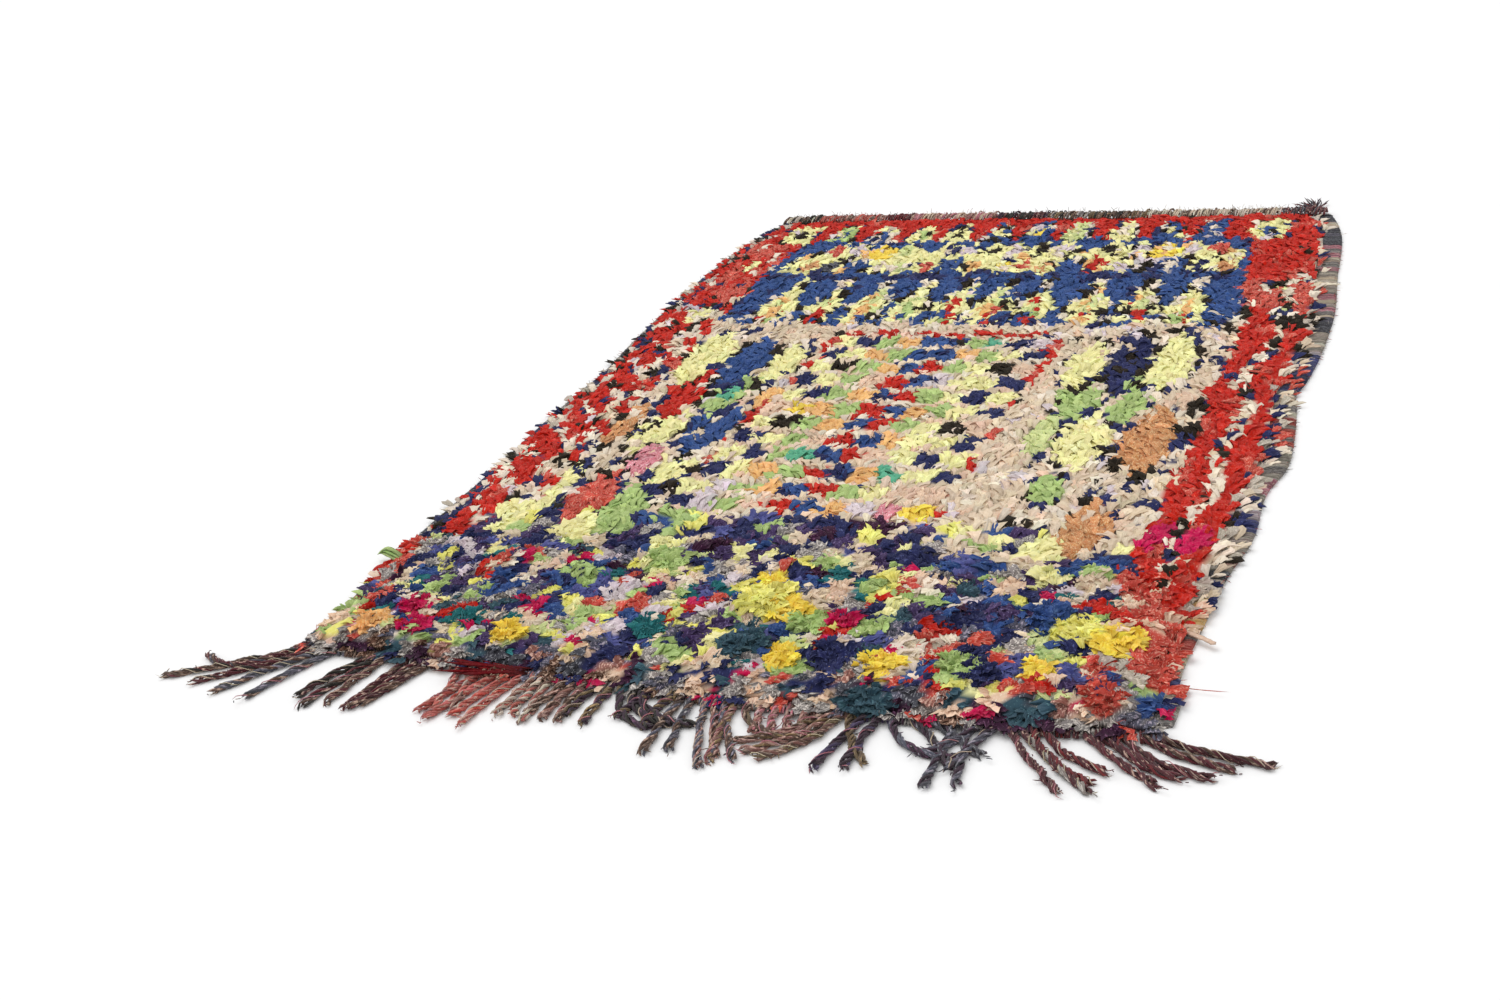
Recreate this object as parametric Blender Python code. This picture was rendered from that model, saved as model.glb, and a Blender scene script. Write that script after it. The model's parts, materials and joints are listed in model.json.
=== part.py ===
"""A boucherouite rug, knotted from strips of rag, lying flat on a floor.

The rug is a shaggy field of knotted rags between two overcast selvedges, with a thick
twined band across its back end and the loose warp ends hanging out of its front end.
Metres, +Z up. The origin is the middle of the underside, X runs across the rug and Y
runs along it, from the fringe at the front to the end band at the back.
"""

import math
from collections import namedtuple

import bmesh
import bpy
from mathutils import Vector, noise

# Clearance between pieces that lie against each other
SEAM_GAP = 0.0003

# The woven rectangle that the outline tables below bend
FIELD_HALF_WIDTH = 0.70
GRID_COLUMNS = 36
GRID_ROWS = 58

# The pile stands lower at the back than in the coarse rags of the front third
BACK_PILE = 0.019
FRONT_PILE = 0.026
COARSE_FROM_Y = -0.42
COARSE_FULL_Y = -0.80
RIM_PILE = 0.014
RIM_FALL = 0.045

# Broad swells of the pile, and the single tufts that break its surface
LUMP_SIZE = 0.085
BACK_LUMP = 0.0035
FRONT_LUMP = 0.0070
TUFT_SIZE = 0.017
BACK_TUFT = 0.0080
FRONT_TUFT = 0.0150

# Rags that hang over the rim of the field, clear of the bands beneath them
LOCK_UNDERSIDE = 0.0088
LOCK_SHARE = 0.66
LOCK_SHORT = 0.010
LOCK_LONG = 0.028
LOCK_PATCH = 0.027

SELVEDGE_HEIGHT = 0.0078
SELVEDGE_RIB = 0.0016
TURNS_PER_ROW = 2

END_BAND_DEPTH = 0.044
END_BAND_HEIGHT = 0.021
END_BAND_RIB = 0.0022
END_BAND_SWELL = 0.10
SWELL_STEP = 0.9

FRINGE_STRIP_DEPTH = 0.022
FRINGE_STRIP_HEIGHT = 0.0060
ROOT_SHARE = 0.55
STRAND_WIDTH = 0.0150
STRAND_ROOT_HEIGHT = 0.0078
STRAND_HEIGHT = 0.0115
STRAND_STATIONS = 8
THICK_FROM = 0.036
THICK_FULL = 0.058
STRAND_SWELL = 0.12
STRAND_TAPER = 0.45
STRAND_THINNING = 0.35
STRAND_UNEVEN = 0.08
UNEVEN_STEP = 2.4

TIED_HEAD_RADIUS = 0.010
TIED_HEAD_HEIGHT = 0.009
TIED_HEAD_TOP = 0.7
TIED_ROOT = 0.45
TIED_STRAND = 0.0055
TIED_LENGTH = 0.052
TIED_UNEVEN = 0.016
TIED_CURL = 18
TIED_LEANS = (150, 168, 184, 200, 218, 236)

# Outer edge of each selvedge and the width of its overcast band, from back to front
SideRow = namedtuple("SideRow", "y left right left_band right_band")
SIDES = [
    SideRow(1.135, -0.702, 0.690, 0.022, 0.028),
    SideRow(1.000, -0.724, 0.726, 0.024, 0.040),
    SideRow(0.880, -0.750, 0.742, 0.024, 0.042),
    SideRow(0.650, -0.760, 0.752, 0.026, 0.042),
    SideRow(0.430, -0.758, 0.765, 0.026, 0.042),
    SideRow(0.200, -0.745, 0.759, 0.026, 0.040),
    SideRow(0.060, -0.733, 0.745, 0.026, 0.034),
    SideRow(0.000, -0.732, 0.733, 0.026, 0.030),
    SideRow(-0.070, -0.735, 0.743, 0.026, 0.036),
    SideRow(-0.300, -0.732, 0.754, 0.026, 0.044),
    SideRow(-0.410, -0.727, 0.731, 0.026, 0.034),
    SideRow(-0.570, -0.724, 0.730, 0.024, 0.036),
    SideRow(-0.700, -0.724, 0.708, 0.024, 0.028),
    SideRow(-0.850, -0.720, 0.695, 0.022, 0.026),
    SideRow(-0.990, -0.707, 0.685, 0.020, 0.022),
    SideRow(-1.060, -0.709, 0.697, 0.020, 0.024),
    SideRow(-1.135, -0.712, 0.692, 0.020, 0.022),
]

# Where the knotted field ends at the front and at the back
EndRow = namedtuple("EndRow", "x front back")
ENDS = [
    EndRow(-0.72, -1.112, 1.086),
    EndRow(-0.45, -1.125, 1.092),
    EndRow(-0.15, -1.138, 1.089),
    EndRow(0.15, -1.146, 1.084),
    EndRow(0.45, -1.140, 1.083),
    EndRow(0.72, -1.126, 1.088),
]

# Big crumpled rags that stand out of the front third as domes
Clump = namedtuple("Clump", "x y radius height")
CLUMPS = [
    Clump(0.055, -0.900, 0.085, 0.013),
    Clump(0.575, -0.925, 0.065, 0.014),
    Clump(0.215, -1.035, 0.060, 0.010),
    Clump(0.275, -0.985, 0.045, 0.010),
    Clump(0.380, -1.015, 0.050, 0.009),
    Clump(0.480, -0.890, 0.060, 0.010),
    Clump(0.035, -1.030, 0.050, 0.010),
    Clump(-0.480, -1.000, 0.055, 0.010),
    Clump(-0.600, -0.985, 0.050, 0.009),
    Clump(-0.180, -0.800, 0.055, 0.009),
    Clump(-0.120, -1.010, 0.050, 0.008),
    Clump(0.600, -1.070, 0.055, 0.009),
]

# Long loose rags at the rim: how far each lies out, drifts along the rim and rises
Tail = namedtuple("Tail", "side place reach drift rise")
TAILS = [
    Tail("left", -0.840, 0.058, 0.022, 0.008),
    Tail("right", -0.870, 0.056, -0.032, 0.001),
    Tail("left", -0.190, 0.040, 0.018, 0.002),
    Tail("front", -0.262, 0.026, -0.140, 0.001),
]

# How a loose rag is drawn out: the share of its reach in each step, the share of its
# rise and the width left at the step's end
Step = namedtuple("Step", "share rise width")
TAIL_STEPS = [Step(0.40, 1.0, 0.72), Step(0.35, 0.0, 0.90), Step(0.25, -0.6, 0.60)]
LOCK_STEPS = [Step(0.60, 0.0, 0.82), Step(0.40, 0.0, 0.42)]

# Cross-sections as shares of a band's width and height
BAND_SECTION = ((0.0, 0.0), (1.0, 0.0), (1.0, 0.45), (0.78, 0.92), (0.30, 1.0), (0.0, 0.80))
END_SECTION = (
    (0.0, 0.0),
    (1.0, 0.0),
    (1.0, 0.42),
    (0.84, 0.86),
    (0.60, 1.0),
    (0.34, 0.84),
    (0.0, 0.48),
)

# Clusters of warp ends along the front, from left to right. Leans are the degrees that a
# strand swings to the right of straight ahead, at its root and at its end, and the fan is
# how far the cluster's last strand leans beyond its first.
Cluster = namedtuple("Cluster", "start end count lean end_lean fan length")
FRINGE = [
    Cluster(-0.703, -0.703, 1, -14, -138, 0, 0.204),
    Cluster(-0.682, -0.660, 2, -50, -62, 8, 0.240),
    Cluster(-0.646, -0.628, 2, -38, -26, 14, 0.190),
    Cluster(-0.560, -0.528, 3, -20, -12, 12, 0.158),
    Cluster(-0.492, -0.446, 3, -8, -22, -12, 0.152),
    Cluster(-0.388, -0.368, 2, 20, 6, 8, 0.138),
    Cluster(-0.332, -0.270, 4, -26, -12, 12, 0.142),
    Cluster(-0.248, -0.222, 3, -6, 6, 14, 0.110),
    Cluster(-0.190, -0.160, 3, -14, 2, 16, 0.102),
    Cluster(-0.138, -0.116, 2, -10, -2, 10, 0.095),
    Cluster(-0.096, -0.066, 3, 14, 96, 16, 0.145),
    Cluster(-0.046, -0.014, 2, -22, -4, 16, 0.088),
    Cluster(0.004, 0.020, 2, 0, 8, 8, 0.148),
    Cluster(0.042, 0.070, 3, 18, 28, 8, 0.160),
    Cluster(0.088, 0.088, 1, 4, 10, 0, 0.142),
    Cluster(0.108, 0.108, 1, 6, 125, 0, 0.172),
    Cluster(0.130, 0.196, 4, 8, 18, 4, 0.066),
    Cluster(0.224, 0.250, 3, -14, -72, 14, 0.158),
    Cluster(0.264, 0.264, 1, 8, 50, 0, 0.140),
    Cluster(0.286, 0.306, 2, -14, -6, 8, 0.134),
    Cluster(0.326, 0.326, 1, 8, 116, 0, 0.168),
    Cluster(0.352, 0.378, 2, 54, 40, 14, 0.128),
    Cluster(0.412, 0.428, 2, 8, 0, 10, 0.146),
    Cluster(0.448, 0.466, 2, -22, -36, 16, 0.108),
    Cluster(0.488, 0.502, 2, 32, 50, 8, 0.182),
    Cluster(0.520, 0.536, 2, 24, 74, 8, 0.148),
    Cluster(0.588, 0.604, 2, 46, 60, 8, 0.146),
    Cluster(0.624, 0.638, 2, 26, 92, 8, 0.148),
    Cluster(0.660, 0.686, 2, 60, 88, 10, 0.156),
]


def clear_scene():
    """Removes every object that the file opened with."""
    for old in list(bpy.data.objects):
        bpy.data.objects.remove(old, do_unlink=True)


def mix(a, b, share):
    """The value a share of the way from a to b."""
    return a + (b - a) * share


def ease(value):
    """Smooth step from 0 to 1, held flat outside that range."""
    share = min(1.0, max(0.0, value))
    return share * share * (3.0 - 2.0 * share)


def along(rows, key, column, at):
    """The column's value at a place between rows, on a smooth curve through them."""
    ordered = sorted(rows, key=lambda row: getattr(row, key))
    places = [getattr(row, key) for row in ordered]
    values = [getattr(row, column) for row in ordered]
    last = len(places) - 1
    at = min(places[last], max(places[0], at))
    i = max(k for k in range(last) if places[k] <= at)
    span = places[i + 1] - places[i]

    def slope(k):
        low, high = max(k - 1, 0), min(k + 1, last)
        return (values[high] - values[low]) / (places[high] - places[low]) * span

    share = (at - places[i]) / span
    bend = share * (1.0 - share)
    return (
        mix(values[i], values[i + 1], ease(share))
        + slope(i) * bend * (1.0 - share)
        - slope(i + 1) * bend * share
    )


def field_point(u, v):
    """A point of the knotted field: u runs from left to right, v from front to back."""
    x = mix(-FIELD_HALF_WIDTH, FIELD_HALF_WIDTH, u)
    y = mix(along(ENDS, "x", "front", x), along(ENDS, "x", "back", x), v)
    left = along(SIDES, "y", "left", y) + along(SIDES, "y", "left_band", y)
    right = along(SIDES, "y", "right", y) - along(SIDES, "y", "right_band", y)
    return Vector((mix(left, right, u), y, 0.0))


def pile_height(x, y, rim_distance):
    """The top of the pile over a place on the floor."""
    coarse = ease((y - COARSE_FROM_Y) / (COARSE_FULL_Y - COARSE_FROM_Y))
    place = Vector((x, y, 0.0))
    height = mix(BACK_PILE, FRONT_PILE, coarse)
    height += mix(BACK_LUMP, FRONT_LUMP, coarse) * noise.noise(place / LUMP_SIZE)
    height += mix(BACK_TUFT, FRONT_TUFT, coarse) * noise.noise(place / TUFT_SIZE)
    for clump in CLUMPS:
        away = math.hypot(x - clump.x, y - clump.y) / clump.radius
        height += clump.height * ease(1.0 - away)
    return mix(RIM_PILE, height, ease(rim_distance / RIM_FALL))


def material(name, colour, roughness=0.95):
    """A matt cloth finish in one colour."""
    made = bpy.data.materials.new(name)
    made.use_nodes = True
    shader = made.node_tree.nodes["Principled BSDF"]
    shader.inputs["Base Color"].default_value = (*colour, 1.0)
    shader.inputs["Roughness"].default_value = roughness
    shader.inputs["Metallic"].default_value = 0.0
    return made


def add_object(name, shape, finish, collection):
    """Turns a bmesh into a named object with its normals pointing out."""
    bmesh.ops.recalc_face_normals(shape, faces=shape.faces[:])
    mesh = bpy.data.meshes.new(name)
    shape.to_mesh(mesh)
    shape.free()
    mesh.materials.append(finish)
    made = bpy.data.objects.new(name, mesh)
    collection.objects.link(made)
    return made


def join_in(target, name, shape, finish):
    """Unites a piece with the strands that are rooted in it."""
    helpers = bpy.data.collections["joined_in"]
    strands = add_object(name, shape, finish, helpers)
    strands.hide_render = True
    strands.display_type = "WIRE"
    union = target.modifiers.new(name, "BOOLEAN")
    union.operation = "UNION"
    union.solver = "EXACT"
    union.use_self = True
    union.object = strands


def loft(shape, rings):
    """Skins a row of unlike closed sections and caps the two ends."""
    rows = [[shape.verts.new(point) for point in ring] for ring in rings]
    count = len(rows[0])
    for near, far in zip(rows, rows[1:]):
        for i in range(count):
            j = (i + 1) % count
            shape.faces.new((near[i], near[j], far[j], far[i]))
    shape.faces.new(rows[0][::-1])
    shape.faces.new(rows[-1])


def extruded_rim(shape, edges, height):
    """Drops a copy of a closed rim to a height and returns the new edges and faces."""
    made = bmesh.ops.extrude_edge_only(shape, edges=edges)["geom"]
    dropped = {item for item in made if isinstance(item, bmesh.types.BMVert)}
    for vert in dropped:
        vert.co.z = height
    faces = [item for item in made if isinstance(item, bmesh.types.BMFace)]
    lower = [
        item
        for item in made
        if isinstance(item, bmesh.types.BMEdge) and dropped.issuperset(item.verts)
    ]
    return lower, faces


def side_of(face):
    """The side of the field that a rim face lies on, the way out, and its middle."""
    middle = face.calc_center_median()
    run = max(face.edges, key=lambda edge: edge.calc_length())
    span = run.verts[1].co - run.verts[0].co
    if abs(span.y) > abs(span.x):
        out = math.copysign(1.0, middle.x)
        return ("right" if out > 0 else "left"), Vector((out, 0.0, 0.0)), middle
    out = math.copysign(1.0, middle.y)
    return ("back" if out > 0 else "front"), Vector((0.0, out, 0.0)), middle


def grow_lock(shape, face, steps, reach, rise=0.0):
    """Draws a rim face out step by step along its reach, narrowing it as it goes."""
    for step in steps:
        made = bmesh.ops.extrude_discrete_faces(shape, faces=[face])
        face = made["faces"][0]
        centre = face.calc_center_median()
        move = reach * step.share + Vector((0.0, 0.0, rise * step.rise))
        for vert in face.verts:
            vert.co = centre + (vert.co - centre) * step.width + move
            vert.co.z = max(vert.co.z, LOCK_UNDERSIDE)


def add_rim_locks(shape, faces):
    """Hangs rags over the bands, thinned out so that they stand apart."""
    found = [(face, *side_of(face)) for face in faces]
    taken = set()
    for tail in TAILS:
        axis, sideways = (0, Vector((1, 0, 0))) if tail.side == "front" else (1, Vector((0, 1, 0)))
        rim = [row for row in found if row[1] == tail.side and row[0] not in taken]
        face, _, out, _ = min(rim, key=lambda row: abs(row[3][axis] - tail.place))
        reach = out * tail.reach + sideways * tail.drift
        grow_lock(shape, face, TAIL_STEPS, reach, tail.rise)
        clear = abs(tail.drift) + RIM_FALL
        taken.update(row[0] for row in rim if abs(row[3][axis] - tail.place) < clear)
    for face, side, out, middle in found:
        chance = 0.5 + noise.noise(middle / LOCK_PATCH)
        if face in taken or side == "back" or chance > LOCK_SHARE:
            continue
        length = mix(LOCK_SHORT, LOCK_LONG, chance / LOCK_SHARE)
        grow_lock(shape, face, LOCK_STEPS, out * length)


def build_pile_field(collection):
    """The knotted field: one lumpy slab of rags with locks hanging over its rim."""
    shape = bmesh.new()
    bmesh.ops.create_grid(shape, x_segments=GRID_COLUMNS, y_segments=GRID_ROWS, size=0.5)
    for vert in shape.verts:
        u, v = vert.co.x + 0.5, vert.co.y + 0.5
        place = field_point(u, v)
        rims = (field_point(0.0, v), field_point(1.0, v), field_point(u, 0.0), field_point(u, 1.0))
        rim_distance = min((place - rim).length for rim in rims)
        vert.co = (place.x, place.y, pile_height(place.x, place.y, rim_distance))
    rim = [edge for edge in shape.edges if edge.is_boundary]
    lower, hanging = extruded_rim(shape, rim, LOCK_UNDERSIDE)
    floor_edges, _ = extruded_rim(shape, lower, 0.0)
    bmesh.ops.contextual_create(shape, geom=floor_edges)
    bmesh.ops.recalc_face_normals(shape, faces=shape.faces[:])
    add_rim_locks(shape, hanging)
    finish = material("knotted_rags", (0.62, 0.30, 0.26))
    return add_object("pile_field", shape, finish, collection)


def section_points(section, width, height):
    """A cross-section at its real size, standing a seam's clearance off the field."""
    inner = SEAM_GAP / width
    return [(max(across, inner) * width, up * height) for across, up in section]


def build_selvedge(name, side, collection):
    """An overcast edge: thick outer warps wrapped with weft, ribbed by its turns."""
    u, way = (0.0, -1.0) if side == "left" else (1.0, 1.0)
    rings = []
    for turn in range(GRID_ROWS * TURNS_PER_ROW + 1):
        row, part = divmod(turn / TURNS_PER_ROW, 1.0)
        near = field_point(u, row / GRID_ROWS)
        far = field_point(u, min(GRID_ROWS, row + 1) / GRID_ROWS)
        edge = near.lerp(far, part)
        band = along(SIDES, "y", side + "_band", edge.y)
        height = SELVEDGE_HEIGHT - (SELVEDGE_RIB if turn % 2 else 0.0)
        points = section_points(BAND_SECTION, band, height)
        rings.append([Vector((edge.x + way * across, edge.y, up)) for across, up in points])
    shape = bmesh.new()
    loft(shape, rings)
    finish = material(name + "_wrap", (0.42, 0.37, 0.35))
    return add_object(name, shape, finish, collection)


def end_line(v):
    """Points along one end of the field, with the selvedges' ends added."""
    inner = [field_point(i / GRID_COLUMNS, v) for i in range(GRID_COLUMNS + 1)]
    left = Vector((along(SIDES, "y", "left", inner[0].y), inner[0].y, 0.0))
    right = Vector((along(SIDES, "y", "right", inner[-1].y), inner[-1].y, 0.0))
    return [left, *inner, right]


def build_end_band(collection):
    """The twined band across the back, a thick ridge of looped warp ends."""
    line = end_line(1.0)
    halves = [near.lerp(far, 0.5) for near, far in zip(line, line[1:])]
    stations = [place for pair in zip(line, halves) for place in pair] + [line[-1]]
    rings = []
    for i, place in enumerate(stations):
        rib = END_BAND_RIB * (i % 2)
        swell = 1.0 + END_BAND_SWELL * math.sin(i // 2 * SWELL_STEP)
        points = section_points(END_SECTION, END_BAND_DEPTH - rib, END_BAND_HEIGHT * swell - rib)
        rings.append([Vector((place.x, place.y + back, up)) for back, up in points])
    shape = bmesh.new()
    loft(shape, rings)
    finish = material("twined_end", (0.30, 0.20, 0.17))
    return add_object("end_band", shape, finish, collection)


def heading_at(lean):
    """The way that a lean points on the floor."""
    return Vector((math.sin(lean), -math.cos(lean), 0.0))


def strand_rings(root, leans, length, width, heights, sides=4):
    """Sections of a strand that lies level on the floor, curls and tapers to its end."""
    middle = root.copy()
    rings = []
    for station in range(STRAND_STATIONS):
        share = station / (STRAND_STATIONS - 1)
        heading = heading_at(mix(*leans, share))
        across = Vector((-heading.y, heading.x, 0.0))
        arch = math.sin(math.pi * share)
        half = across * 0.5 * width * (1.0 + STRAND_SWELL * arch - STRAND_TAPER * share**3)
        thick = ease((share * length - THICK_FROM) / (THICK_FULL - THICK_FROM))
        tall = Vector((0.0, 0.0, mix(*heights, thick) * (1.0 - STRAND_THINNING * share**2)))
        base = [middle - half, middle + half]
        top = [base[1] + tall, base[0] + tall] if sides == 4 else [middle + tall]
        rings.append(base + top)
        half_step = 0.5 / (STRAND_STATIONS - 1)
        middle = middle + heading_at(mix(*leans, share + half_step)) * 2.0 * half_step * length
    return rings


def strip_outline():
    """The strip that the warp ends leave, drawn against the front of the field."""
    line = end_line(0.0)
    back = [point - Vector((0.0, SEAM_GAP, 0.0)) for point in line]
    coarse = [*line[:-1:2], line[-1]]
    front = [point - Vector((0.0, FRINGE_STRIP_DEPTH, 0.0)) for point in coarse]
    return back + front[::-1]


def front_of_field(x):
    """The front edge of the field at a place across the rug."""
    u = 0.5 + 0.5 * x / FIELD_HALF_WIDTH
    return field_point(min(1.0, max(0.0, u)), 0.0).y


def build_fringe(collection):
    """The loose warp ends, rooted in one narrow strip along the front."""
    strip = bmesh.new()
    corners = [strip.verts.new(point) for point in strip_outline()]
    base = strip.faces.new(corners)
    raised = bmesh.ops.extrude_face_region(strip, geom=[base])["geom"]
    for vert in (item for item in raised if isinstance(item, bmesh.types.BMVert)):
        vert.co.z = FRINGE_STRIP_HEIGHT
    finish = material("warp_yarn", (0.27, 0.13, 0.12))
    fringe = add_object("fringe_front", strip, finish, collection)

    strands = bmesh.new()
    heights = (STRAND_ROOT_HEIGHT, STRAND_HEIGHT)
    order = 0
    for cluster in FRINGE:
        for i in range(cluster.count):
            share = i / max(1, cluster.count - 1)
            x = mix(cluster.start, cluster.end, share)
            root = Vector((x, front_of_field(x) - ROOT_SHARE * FRINGE_STRIP_DEPTH, 0.0))
            swing = cluster.fan * (share - 0.5)
            leans = [math.radians(lean + swing) for lean in (cluster.lean, cluster.end_lean)]
            length = cluster.length * (1.0 + STRAND_UNEVEN * math.sin(order * UNEVEN_STEP))
            loft(strands, strand_rings(root, leans, length, STRAND_WIDTH, heights))
            order += 1
    join_in(fringe, "strands", strands, finish)
    return fringe


def build_corner_tuft(collection):
    """Warp ends tied off in a tuft behind the right back corner."""
    corner = field_point(1.0, 1.0)
    centre = corner + Vector((0.0, END_BAND_DEPTH + SEAM_GAP + TIED_HEAD_RADIUS, 0.0))
    head = bmesh.new()
    bmesh.ops.create_cone(
        head,
        cap_ends=True,
        segments=12,
        radius1=TIED_HEAD_RADIUS,
        radius2=TIED_HEAD_TOP * TIED_HEAD_RADIUS,
        depth=TIED_HEAD_HEIGHT,
    )
    bmesh.ops.translate(
        head, verts=head.verts, vec=centre + Vector((0.0, 0.0, TIED_HEAD_HEIGHT / 2))
    )
    finish = material("tuft_yarn", (0.28, 0.09, 0.13))
    tuft = add_object("corner_tuft", head, finish, collection)

    strands = bmesh.new()
    heights = (TIED_STRAND, TIED_STRAND)
    for i, degrees in enumerate(TIED_LEANS):
        curl = TIED_CURL * math.sin(i)
        leans = [math.radians(degrees - curl), math.radians(degrees + curl)]
        root = centre + heading_at(leans[0]) * TIED_ROOT * TIED_HEAD_RADIUS
        length = TIED_LENGTH + TIED_UNEVEN * math.cos(i * UNEVEN_STEP)
        loft(strands, strand_rings(root, leans, length, TIED_STRAND, heights, sides=3))
    join_in(tuft, "tuft_strands", strands, finish)
    return tuft


def main():
    """Builds the rug, piece by piece, in a collection of its own."""
    clear_scene()
    for name in ("boucherouite_rug", "joined_in"):
        bpy.context.scene.collection.children.link(bpy.data.collections.new(name))
    rug = bpy.data.collections["boucherouite_rug"]
    build_pile_field(rug)
    build_selvedge("selvedge_left", "left", rug)
    build_selvedge("selvedge_right", "right", rug)
    build_end_band(rug)
    build_fringe(rug)
    build_corner_tuft(rug)


main()
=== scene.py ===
"""The finished look of a boucherouite rug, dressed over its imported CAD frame.

Every rag, wrap and yarn is a closed shape of its own. The rags are knotted in rows that
follow the outline of the CAD field, their dyes come from a chart of the rug's pattern, and
the colours travel to the shaders as mesh attributes. Metres, +Z up.
"""

from __future__ import annotations

import json
import logging
import math
from dataclasses import dataclass, field
from enum import Enum

import bpy
import numpy as np
from mathutils import Matrix, Vector, noise
from mathutils.bvhtree import BVHTree

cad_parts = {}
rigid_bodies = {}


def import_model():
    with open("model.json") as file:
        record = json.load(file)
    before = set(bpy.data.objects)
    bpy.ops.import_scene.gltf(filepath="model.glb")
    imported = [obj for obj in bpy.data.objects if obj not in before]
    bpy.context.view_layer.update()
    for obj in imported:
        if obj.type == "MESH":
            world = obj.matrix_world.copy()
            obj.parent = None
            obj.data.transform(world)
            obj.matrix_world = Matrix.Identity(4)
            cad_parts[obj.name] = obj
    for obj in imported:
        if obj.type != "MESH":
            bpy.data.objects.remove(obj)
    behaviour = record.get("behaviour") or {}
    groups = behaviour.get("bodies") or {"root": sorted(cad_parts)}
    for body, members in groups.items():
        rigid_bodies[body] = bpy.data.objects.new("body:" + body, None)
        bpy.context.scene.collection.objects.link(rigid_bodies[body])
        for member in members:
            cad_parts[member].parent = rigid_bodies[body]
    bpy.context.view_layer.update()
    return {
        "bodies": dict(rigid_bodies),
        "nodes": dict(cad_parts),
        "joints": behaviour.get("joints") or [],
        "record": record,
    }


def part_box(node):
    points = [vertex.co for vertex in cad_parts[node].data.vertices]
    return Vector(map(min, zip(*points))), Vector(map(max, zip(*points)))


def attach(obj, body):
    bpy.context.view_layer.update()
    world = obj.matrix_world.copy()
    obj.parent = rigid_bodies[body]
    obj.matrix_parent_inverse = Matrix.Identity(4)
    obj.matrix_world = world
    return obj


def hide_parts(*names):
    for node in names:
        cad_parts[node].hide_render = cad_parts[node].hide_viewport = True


LOG = logging.getLogger("rug")

Piece = bpy.types.Object
Cloth = bpy.types.Material
Tree = bpy.types.NodeTree
Node = bpy.types.Node
Socket = bpy.types.NodeSocket

SEED = 4127

# Painted shade at the roots of the rags, what rubs off on their tips, and painted shade in the grooves
# of a yarn
ROOT_PAINTED_SHADE = (0.035, 0.030, 0.028, 1.0)
RUBBED_TIP = (0.80, 0.76, 0.70, 1.0)
YARN_GROOVE_SHADE = (0.03, 0.025, 0.025, 1.0)

# How much brighter the cloth is dyed than it looks between its own shadows
DYE_LIFT = 1.01


@dataclass(frozen=True)
class DyeLot:
    """One lot of rag: its colour, its fleck, and the share of the cloth that is flecked."""

    colour: tuple[int, int, int]
    fleck: tuple[int, int, int] = (240, 226, 210)
    flecked: float = 0.0


class Dye(Enum):
    """The rag lots of the rug, in 8-bit display colours."""

    LEMON = DyeLot((236, 230, 164), (240, 238, 190), 0.14)
    CANARY = DyeLot((230, 224, 122), (238, 234, 158), 0.14)
    PALE_LEMON = DyeLot((242, 240, 178), (236, 226, 140), 0.20)
    GOLD = DyeLot((242, 212, 86), (242, 192, 60), 0.16)
    GREEN = DyeLot((168, 190, 120), (198, 212, 146), 0.22)
    PALE_GREEN = DyeLot((200, 210, 146), (232, 226, 160), 0.25)
    SEA_GREEN = DyeLot((92, 170, 138), (140, 204, 156), 0.12)
    ORANGE = DyeLot((232, 180, 116), (238, 208, 160), 0.20)
    TERRACOTTA = DyeLot((198, 136, 90), (222, 186, 140), 0.36)
    RED = DyeLot((188, 38, 28), (212, 100, 78), 0.16)
    CORAL = DyeLot((192, 74, 62), (222, 150, 130), 0.30)
    CRIMSON = DyeLot((190, 22, 78), (216, 76, 112), 0.14)
    ROSE = DyeLot((208, 128, 140), (236, 200, 200), 0.30)
    PEACH = DyeLot((222, 190, 164), (234, 212, 192), 0.24)
    BEIGE = DyeLot((218, 198, 172), (226, 208, 188), 0.18)
    CREAM = DyeLot((228, 214, 194), (216, 198, 180), 0.18)
    LILAC = DyeLot((210, 196, 200), (226, 214, 216), 0.28)
    BLUE = DyeLot((50, 76, 130), (88, 116, 164), 0.22)
    VIOLET_BLUE = DyeLot((82, 86, 142), (112, 120, 172), 0.18)
    NAVY = DyeLot((38, 42, 82), (78, 86, 132), 0.20)
    BLACK = DyeLot((34, 27, 18), (84, 70, 52), 0.16)
    PURPLE = DyeLot((66, 50, 88), (120, 104, 146), 0.24)
    TEAL = DyeLot((38, 106, 110), (80, 156, 152), 0.14)
    DARK_TEAL = DyeLot((52, 78, 90), (86, 120, 128), 0.18)
    GREY = DyeLot((132, 125, 122), (206, 198, 190), 0.42)
    TAUPE = DyeLot((178, 166, 152), (212, 200, 186), 0.36)
    CHARCOAL = DyeLot((66, 66, 74), (150, 150, 156), 0.30)
    BROWN = DyeLot((92, 64, 50), (190, 160, 140), 0.36)
    BURGUNDY = DyeLot((88, 18, 32), (214, 178, 160), 0.26)
    DARK_RED = DyeLot((112, 16, 24), (150, 40, 40), 0.18)
    SALMON = DyeLot((206, 108, 98), (240, 200, 180), 0.34)
    PLUM = DyeLot((52, 22, 46), (110, 70, 100), 0.22)
    OLIVE = DyeLot((112, 90, 60), (172, 146, 104), 0.34)
    SLATE = DyeLot((88, 88, 102), (170, 160, 176), 0.34)
    PINK_BROWN = DyeLot((146, 98, 88), (216, 176, 160), 0.40)


def dyes(names: str) -> tuple[Dye, ...]:
    """The dyes that a line of names lists."""
    return tuple(Dye[name] for name in names.split())


def cell_of(word: str) -> object:
    """Reads one cell of a table: a number, a dye, or several dyes joined by a plus."""
    if word[-1].isdigit():
        return float(word) if "." in word else int(word)
    named = dyes(word.replace("+", " "))
    return named if len(named) > 1 else named[0]


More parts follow.
